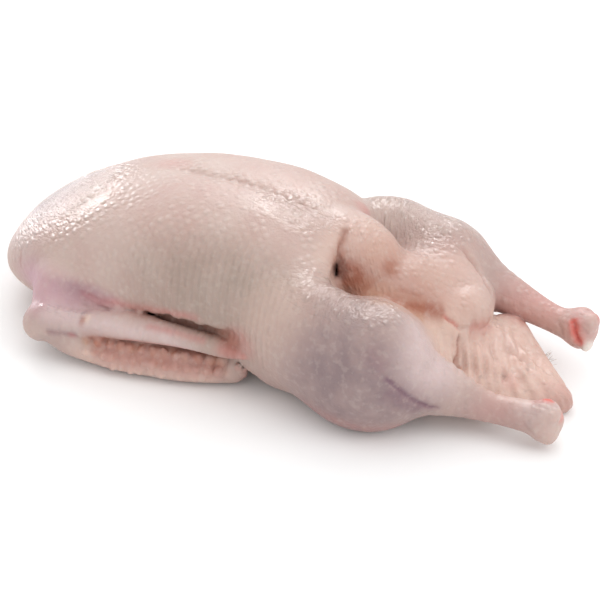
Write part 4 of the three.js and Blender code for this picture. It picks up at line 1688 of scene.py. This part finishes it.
@dataclass
class WildDuck:
    """The whole bird, plucked and drawn, as one piece of skin-covered flesh."""

    parts: Sequence[Part]
    stubs: FeatherStubs
    cell: float = 1.22
    relax_rounds: int = 2
    axis_level: float = 38.0
    girth_radius: float = 50.0
    rows_end: Row = (30, 62)
    out_share: float = 0.5
    rear_spread: float = 1.2
    # sinking at which the painted crease shade is full
    crease_shade_depth: float = 1.3
    relief_rises: Row = (0.3, 2.5)

    def grow(self) -> SkinNet:
        """Join the parts' forms and find the skin.

        Returns:
            The skin's net.
        """
        flesh = Flesh(cell=self.cell)
        for step in self.order():
            if step.cut:
                flesh.cut(step.form, step.blend)
            else:
                flesh.join(step.form, step.blend)
        flesh.rest_on(0)
        net = SkinNet(flesh)
        net.relax(self.relax_rounds)
        return net

    def order(self) -> Iterable[Step]:
        """Put the steps of all parts in order: the belly is laid in a pocket cut before it.

        Returns:
            The steps, first to last.
        """
        for part in self.parts:
            if isinstance(part, Belly):
                trunks = [p for p in self.parts if isinstance(p, BreastAndBack)]
                yield from (p.pocket_cut() for p in trunks)
                yield from part.steps()
                for trunk in trunks:
                    yield from trunk.slit_cuts()
            else:
                yield from part.steps()

    def press(self, net: SkinNet) -> dict[Tint, np.ndarray]:
        """Press the reliefs into the skin and work out its tints.

        Args:
            net: the skin's net, whose points are moved.

        Returns:
            Each tint's amount at every point.
        """
        flat = net.points
        height = np.zeros(len(flat))
        tints = {tint: np.zeros(len(flat)) for tint in Tint}
        for part in self.parts:
            for relief in part.reliefs():
                height += relief.height(flat)
            for tint, places in part.tints().items():
                for place in places:
                    tints[tint] = np.maximum(tints[tint], place.share(flat))
        # painted shade: the deeper a relief sinks the skin, the darker it is painted
        tints[Tint.FOLD] = np.clip(-height / self.crease_shade_depth, 0, 1)
        outward = net.flesh.slope(flat)
        height *= ease(flat[:, 2], *self.relief_rises)
        net.points = flat + outward * height[:, None]
        net.points[:, 2] = np.maximum(net.points[:, 2], 0)
        return tints

    def seat_places(self, points: np.ndarray) -> np.ndarray:
        """Places of points along and round the trunk, in which the feather seats stand in rows.

        Args:
            points: the skin's points.

        Returns:
            Rows of [along, round, out].
        """
        rise = points[:, 2] - self.axis_level
        turn = np.arctan2(points[:, 1], rise) * self.girth_radius
        out = self.out_share * np.hypot(points[:, 1], rise)
        behind = ease(points[:, 0], *self.rows_end)
        turn = turn * (1 - behind) + self.rear_spread * points[:, 1] * behind
        out = out * (1 - behind) + points[:, 2] * behind
        return np.column_stack([points[:, 0], turn, out])

    def build(self, dressing: "DuckSkin") -> tuple[bpy.types.Object, Vector]:
        """Make the bird's object.

        Args:
            dressing: its finish.

        Returns:
            The object, and how far it was moved to stand over the frame's origin.
        """
        net = self.grow()
        tints = self.press(net)
        low, high = net.points.min(0), net.points.max(0)
        shift = np.array([-(low[0] + high[0]) / 2, -(low[1] + high[1]) / 2, 0])
        stub_points, stub_faces = self.stubs.shapes()
        points = np.vstack([net.points, stub_points])
        faces = net.squares.tolist() + (stub_faces + len(net.points)).tolist()
        mesh = bpy.data.meshes.new(SKIN_SLOT)
        mesh.from_pydata(((points + shift) * MM).tolist(), [], faces)
        mesh.shade_smooth()
        for tint, amount in tints.items():
            layer = mesh.attributes.new(tint.value, "FLOAT", "POINT")
            on_stubs = np.full(len(stub_points), float(tint is self.stubs.tint))
            layer.data.foreach_set("value", np.concatenate([amount, on_stubs]).astype(np.float32))
        seats = mesh.attributes.new(SEATS, "FLOAT_VECTOR", "POINT")
        seats.data.foreach_set("vector", (self.seat_places(points) * MM).astype(np.float32).ravel())
        mesh.materials.append(dressing.material())
        piece = bpy.data.objects.new(SKIN_SLOT, mesh)
        bpy.context.scene.collection.objects.link(piece)
        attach(piece, "root")
        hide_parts(NODE)
        return piece, Vector(shift) * MM


# ------------------------------------------------------------------ materials


Value = Union["Wire", float]


class Wire:
    """A node's output that can be used in sums."""

    def __init__(self, bench: "Bench", socket: bpy.types.NodeSocket) -> None:
        """Keep the output and the bench that it lies on."""
        self.bench = bench
        self.socket = socket

    def _sum(self, operation: str, one: Value, two: Value) -> "Wire":
        """A Math node on two values."""
        return self.bench.node("ShaderNodeMath", {"operation": operation}, {0: one, 1: two})

    def __add__(self, other: Value) -> "Wire":
        """Sum."""
        return self._sum("ADD", self, other)

    def __radd__(self, other: Value) -> "Wire":
        """Sum, the other way round."""
        return self._sum("ADD", other, self)

    def __sub__(self, other: Value) -> "Wire":
        """Difference."""
        return self._sum("SUBTRACT", self, other)

    def __rsub__(self, other: Value) -> "Wire":
        """Difference, the other way round."""
        return self._sum("SUBTRACT", other, self)

    def __mul__(self, other: Value) -> "Wire":
        """Product."""
        return self._sum("MULTIPLY", self, other)

    def __rmul__(self, other: Value) -> "Wire":
        """Product, the other way round."""
        return self._sum("MULTIPLY", other, self)


@dataclass(frozen=True)
class Spots:
    """Soft noise: the size of its spots in metres, and how many times finer ones are laid over them."""

    size: float
    detail: float


class Bench:
    """A material's nodes."""

    def __init__(self, name: str) -> None:
        """Make an empty material.

        Args:
            name: the material's name.
        """
        self.material = bpy.data.materials.new(name)
        self.material.use_nodes = True
        self.tree = self.material.node_tree
        self.tree.nodes.clear()

    def node(self, kind: str, settings: Optional[dict] = None, inputs: Optional[dict] = None,
             output: Union[int, str] = 0) -> Wire:
        """Add a node.

        Args:
            kind: the node's type.
            settings: its settings; a ramp's stops come as "stops".
            inputs: values or wires by socket name or number.
            output: the wanted output.

        Returns:
            The output, ready for sums.
        """
        made = self.tree.nodes.new(kind)
        for key, value in (settings or {}).items():
            if key == "stops":
                self._set_stops(made.color_ramp, value)
            else:
                setattr(made, key, value)
        for key, value in (inputs or {}).items():
            if isinstance(value, Wire):
                self.tree.links.new(value.socket, made.inputs[key])
            else:
                made.inputs[key].default_value = value
        return Wire(self, made.outputs[output]) if made.outputs else Wire(self, None)

    def _set_stops(self, ramp: bpy.types.ColorRamp, stops: Sequence[tuple[float, Row]]) -> None:
        """Give a ramp its stops.

        Args:
            ramp: the ramp.
            stops: its stops, as places from 0 to 1 with their colours.
        """
        while len(ramp.elements) < len(stops):
            ramp.elements.new(1.0)
        for element, (place, colour) in zip(ramp.elements, stops):
            element.position = place
            element.color = colour

    def blend(self, one: Union[Wire, Row], two: Union[Wire, Row], share: Value) -> Wire:
        """Mix of two colours."""
        return self.node("ShaderNodeMix", {"data_type": "RGBA"}, {0: share, 6: one, 7: two}, 2)

    def tint(self, tint: Tint) -> Wire:
        """Amount of a tint at the shaded place."""
        settings = {"attribute_type": "GEOMETRY", "attribute_name": tint.value}
        return self.node("ShaderNodeAttribute", settings, output="Fac")

    def place(self) -> Wire:
        """Place on the object."""
        return self.node("ShaderNodeTexCoord", output="Object")

    def clouds(self, spots: Spots, place: Optional[Wire] = None) -> Wire:
        """Soft noise from 0 to 1."""
        inputs = {"Vector": place or self.place(), "Scale": 1 / spots.size, "Detail": spots.detail}
        return self.node("ShaderNodeTexNoise", {}, inputs, "Fac")

    def step(self, value: Wire, low: float, high: float) -> Wire:
        """Smooth step from 0 at low to 1 at high."""
        settings = {"interpolation_type": "SMOOTHSTEP", "clamp": True}
        return self.node("ShaderNodeMapRange", settings, {0: value, 1: low, 2: high})


def tone(red: float, green: float, blue: float) -> tuple[float, float, float, float]:
    """Colour from its screen values of 0 to 255."""
    line = [((v / 255 + 0.055) / 1.055) ** 2.4 if v > 10 else v / 255 / 12.92 for v in (red, green, blue)]
    return (*line, 1.0)


@dataclass(frozen=True)
class DuckSkin:
    """Raw plucked skin: pale, moist and goose-pimpled, with the flesh showing where it is thin."""

    fat: Row = tone(194, 172, 163)
    flesh: Row = tone(182, 147, 139)
    bloom: Row = tone(205, 190, 180)
    shades: Sequence[tuple[Tint, Row, float]] = (
        # painted shade in creases and folds
        (Tint.FOLD, tone(166, 112, 102), 0.4),
        # painted shade on the flanks
        (Tint.ASH, tone(150, 134, 122), 0.8),
        (Tint.MAUVE, tone(138, 118, 119), 0.95),
        (Tint.ORCHID, tone(192, 152, 162), 0.85),
        # pale skin, and a painted highlight on one thigh
        (Tint.PEARL, tone(206, 184, 182), 0.9),
        (Tint.CREAM, tone(214, 186, 173), 0.85),
        (Tint.AMBER, tone(178, 132, 104), 0.7),
        (Tint.ROSY, tone(190, 110, 106), 0.75),
        # red-brown skin, partly painted shade in creases, gaps and the pocket
        (Tint.RUDDY, tone(150, 84, 62), 0.8),
        # painted shade in folds
        (Tint.PLUM, tone(112, 74, 92), 0.8),
        (Tint.RAW, tone(206, 94, 82), 0.9),
        (Tint.GRISTLE, tone(222, 212, 205), 0.95),
        # painted shade in gaps and the pocket, and dark follicle dots
        (Tint.DEEP, tone(52, 20, 15), 0.95),
    )
    thin_spots: Spots = Spots(0.026, 5)
    thin_range: Row = (0.3, 0.8)
    least_flesh: float = 0.15
    more_flesh: float = 0.55
    shade_spots: Spots = Spots(0.009, 4)
    least_shade: float = 0.5
    pore_spots: Spots = Spots(0.0032, 2)
    pore_range: Row = (0.5, 0.72)
    pore_bloom: float = 0.16
    pimple_bloom: float = 0.2
    pimple_pitch: float = 0.0042
    pimple_unevenness: float = 0.45
    pimple_turn: float = math.radians(45)
    pimple_range: Row = (0.04, 0.56)
    rib_pitch: float = 0.0036
    rib_bend: float = 1.6
    rib_bend_detail: float = 2.0
    rib_bend_scale: float = 0.35
    roughness: float = 0.52
    wet_polish: float = 0.37
    gloss_spots: Spots = Spots(0.014, 3)
    gloss_swing: float = 0.12
    shine: float = 0.5
    bending: float = 1.42
    moisture: float = 0.035
    moisture_spots: Spots = Spots(0.02, 2)
    least_moist: float = 0.55
    more_moist: float = 0.9
    moisture_roughness: float = 0.3
    softness: float = 0.12
    softness_colours: Row = (1.0, 0.42, 0.25)
    softness_depth: float = 0.006
    patch_spots: Spots = Spots(0.02, 2)
    patch_range: Row = (0.25, 0.7)
    least_pimples: float = 0.4
    patchy_pimples: float = 0.5
    wet_pimples: float = 0.35
    patchy_wet_pimples: float = 0.4
    grain_spots: Spots = Spots(0.0014, 3)
    grain_height: float = 0.5
    fine_grain_spots: Spots = Spots(0.0007, 2)
    fine_grain_height: float = 0.12
    sparkle_spots: Spots = Spots(0.0013, 3)
    sparkle_stretch: Row = (0.6, 1, 1)
    sparkle_height: float = 2.0
    rib_height: float = 1.3
    bump_strength: float = 0.8
    bump_depth: float = 0.0006

    def material(self) -> bpy.types.Material:
        """The skin's material.

        Returns:
            The material.
        """
        bench = Bench(SKIN_SLOT)
        skin = bench.node("ShaderNodeBsdfPrincipled", {"subsurface_method": "RANDOM_WALK"}, {
            "Base Color": self.colour(bench),
            "Roughness": self.gloss(bench),
            "IOR": self.bending,
            "Specular IOR Level": self.shine,
            "Normal": self.relief(bench),
            "Subsurface Weight": self.softness,
            "Subsurface Radius": self.softness_colours,
            "Subsurface Scale": self.softness_depth,
            "Coat Weight": self.film(bench),
            "Coat Roughness": self.moisture_roughness,
        })
        bench.node("ShaderNodeOutputMaterial", {}, {"Surface": skin})
        return bench.material

    def gloss(self, bench: Bench) -> Wire:
        """Roughness, lower where the skin is wet."""
        drift = self.gloss_swing * (bench.clouds(self.gloss_spots) - 0.5)
        return self.roughness - self.wet_polish * bench.tint(Tint.WET) + drift

    def film(self, bench: Bench) -> Wire:
        """Weight of the film of moisture, none in deep gaps."""
        moist = self.least_moist + self.more_moist * bench.clouds(self.moisture_spots)
        return self.moisture * moist * (1 - bench.tint(Tint.DEEP))

    def colour(self, bench: Bench) -> Wire:
        """The skin's colour, with the painted shade and the painted highlight that some tints carry.

        Args:
            bench: the material's nodes.

        Returns:
            The colour.
        """
        thin = bench.step(bench.clouds(self.thin_spots), *self.thin_range)
        colour = bench.blend(self.fat, self.flesh, self.least_flesh + self.more_flesh * thin)
        colour = bench.blend(colour, self.bloom, self.pimple_bloom * self.pimples(bench))
        pores = bench.step(bench.clouds(self.pore_spots), *self.pore_range)
        for tint, shade, strength in self.shades:
            patchy = self.least_shade + bench.clouds(self.shade_spots)
            colour = bench.blend(colour, shade, strength * bench.tint(tint) * patchy)
        return bench.blend(colour, self.bloom, self.pore_bloom * pores)

    def seats(self, bench: Bench) -> Wire:
        """Place along and round the trunk."""
        settings = {"attribute_type": "GEOMETRY", "attribute_name": SEATS}
        return bench.node("ShaderNodeAttribute", settings, output="Vector")

    def pimples(self, bench: Bench) -> Wire:
        """Domes of the feather seats, in rows that cross slantwise.

        Args:
            bench: the material's nodes.

        Returns:
            A value that is 1 at the top of each dome.
        """
        slant = {"Vector": self.seats(bench), "Rotation": (0, 0, self.pimple_turn)}
        places = bench.node("ShaderNodeMapping", {}, slant)
        settings = {"feature": "F1", "distance": "EUCLIDEAN"}
        inputs = {"Vector": places, "Scale": 1 / self.pimple_pitch, "Randomness": self.pimple_unevenness}
        far = bench.node("ShaderNodeTexVoronoi", settings, inputs, "Distance")
        return 1 - bench.step(far, *self.pimple_range)

    def ribs(self, bench: Bench) -> Wire:
        """Fine upright ribs of the flank's skin.

        Args:
            bench: the material's nodes.

        Returns:
            A value that is 1 on each rib.
        """
        settings = {"wave_type": "BANDS", "bands_direction": "X", "wave_profile": "SIN"}
        return bench.node("ShaderNodeTexWave", settings, {
            "Vector": self.seats(bench),
            "Scale": math.pi / 10 / self.rib_pitch,
            "Distortion": self.rib_bend,
            "Detail": self.rib_bend_detail,
            "Detail Scale": self.rib_bend_scale,
        }, "Fac")

    def relief(self, bench: Bench) -> Wire:
        """The skin's fine relief: pimples, grain, a stretched grain that sparkles, and ribs.

        Args:
            bench: the material's nodes.

        Returns:
            The relief as a normal.
        """
        wet = bench.tint(Tint.WET)
        patchy = bench.step(bench.clouds(self.patch_spots), *self.patch_range)
        when_wet = (self.wet_pimples + self.patchy_wet_pimples * patchy) * wet
        height = (self.least_pimples + self.patchy_pimples * patchy + when_wet) * self.pimples(bench)
        height = height + self.grain_height * bench.clouds(self.grain_spots)
        height = height + self.fine_grain_height * bench.clouds(self.fine_grain_spots)
        stretched = {"Vector": self.seats(bench), "Scale": self.sparkle_stretch}
        drawn_out = bench.node("ShaderNodeMapping", {}, stretched)
        height = height + self.sparkle_height * wet * bench.clouds(self.sparkle_spots, drawn_out)
        # the painted flank shade's place also says where the ribs stand
        height = height + self.rib_height * bench.tint(Tint.ASH) * self.ribs(bench)
        inputs = {"Strength": self.bump_strength, "Distance": self.bump_depth, "Height": height}
        return bench.node("ShaderNodeBump", {}, inputs, "Normal")


@dataclass(frozen=True)
class FloorPaper:
    """White matt paper."""

    light: Row = (0.97, 0.97, 0.97, 1)
    shaded: Row = (0.95, 0.95, 0.95, 1)
    spots: Spots = Spots(0.01, 3)

    def material(self) -> bpy.types.Material:
        """The paper's material.

        Returns:
            The material.
        """
        bench = Bench("floor_paper")
        shade = bench.blend(self.shaded, self.light, bench.clouds(self.spots))
        paper = bench.node("ShaderNodeBsdfDiffuse", {}, {"Color": shade})
        bench.node("ShaderNodeOutputMaterial", {}, {"Surface": paper})
        return bench.material


# ------------------------------------------------------------------ floor, light and camera


@dataclass(frozen=True)
class Lamp:
    """A square soft box that faces the bird, in metres and watts."""

    name: str
    place: Row
    size: float
    power: float
    glints: bool = False

    def hang(self) -> None:
        """Hang the lamp; one for glints only shows mirrored in the moist skin."""
        data = bpy.data.lights.new(self.name, "AREA")
        data.size = self.size
        data.energy = self.power
        lamp = bpy.data.objects.new(self.name, data)
        lamp.visible_glossy = self.glints
        lamp.visible_diffuse = not self.glints
        lamp.location = self.place
        lamp.rotation_euler = (-Vector(self.place)).to_track_quat("-Z", "Y").to_euler()
        bpy.context.scene.collection.objects.link(lamp)


@dataclass
class Studio:
    """Pale floor, soft lights and the camera, in metres and degrees."""

    floor_reach: float = 6.0
    world_level: float = 0.94
    lamps: Sequence[Lamp] = (
        Lamp("key_light", (-0.75, 1.0, 1.1), 1.1, 6.8),
        Lamp("top_light", (0.1, -0.1, 1.5), 1.4, 3.6),
        Lamp("right_light", (1.2, -0.1, 0.9), 0.8, 3.8),
        Lamp("left_glint", (-1.40, 0.85, 0.42), 0.432, 18.0, glints=True),
        Lamp("back_glint", (-0.30, 1.05, 1.02), 0.432, 18.9, glints=True),
    )
    azimuth: float = 25.0
    elevation: float = 33.0
    distance: float = 1.0
    lens: float = 122.0
    sensor: float = 36.0
    clip_end: float = 50.0
    aim_right: float = 0.0061475
    aim_up: float = 0.0196721

    def floor(self) -> bpy.types.Object:
        """The floor.

        Returns:
            The floor's object.
        """
        mesh = bpy.data.meshes.new("floor")
        reach = self.floor_reach
        corners = [(-reach, -reach, 0), (reach, -reach, 0), (reach, reach, 0), (-reach, reach, 0)]
        mesh.from_pydata(corners, [], [(0, 1, 2, 3)])
        mesh.materials.append(FloorPaper().material())
        floor = bpy.data.objects.new("floor", mesh)
        bpy.context.scene.collection.objects.link(floor)
        return floor

    def world(self) -> None:
        """Even white surroundings, shown without a film curve."""
        world = bpy.data.worlds.new("surroundings")
        world.use_nodes = True
        back = world.node_tree.nodes["Background"]
        back.inputs["Color"].default_value = (1, 1, 1, 1)
        back.inputs["Strength"].default_value = self.world_level
        bpy.context.scene.world = world
        bpy.context.scene.view_settings.view_transform = "Standard"

    def camera(self, shift: Vector) -> bpy.types.Object:
        """The camera.

        Args:
            shift: how far the bird was moved.

        Returns:
            The camera's object.
        """
        a, e = math.radians(self.azimuth), math.radians(self.elevation)
        back = Vector((math.sin(a) * math.cos(e), -math.cos(a) * math.cos(e), math.sin(e)))
        right = Vector((math.cos(a), math.sin(a), 0))
        up = back.cross(right)
        target = shift + self.aim_right * right + self.aim_up * up
        data = bpy.data.cameras.new("camera")
        data.lens = self.lens
        data.sensor_width = self.sensor
        data.clip_end = self.clip_end
        camera = bpy.data.objects.new("camera", data)
        camera.location = target + back * self.distance
        camera.rotation_mode = "QUATERNION"
        camera.rotation_quaternion = (-back).to_track_quat("-Z", "Y")
        bpy.context.scene.collection.objects.link(camera)
        bpy.context.scene.camera = camera
        return camera

    def build(self, shift: Vector) -> None:
        """Set the stage.

        Args:
            shift: how far the bird was moved.
        """
        floor = self.floor()
        LOG.info("%s laid", floor.name)
        self.world()
        for lamp in self.lamps:
            lamp.hang()
        LOG.info("%d lamps hung", len(self.lamps))
        camera = self.camera(shift)
        LOG.info("%s aimed", camera.name)


def main() -> None:
    """Build the bird and the studio round it."""
    logging.basicConfig(level=logging.INFO, format="%(name)s: %(message)s")
    bird = WildDuck([BreastAndBack(), Legs(), Belly(), Tail(), Wings()], FeatherStubs())
    piece, shift = bird.build(DuckSkin())
    LOG.info("%s: %d points, %d faces", piece.name, len(piece.data.vertices), len(piece.data.polygons))
    Studio().build(shift)


if __name__ == "__main__":
    main()
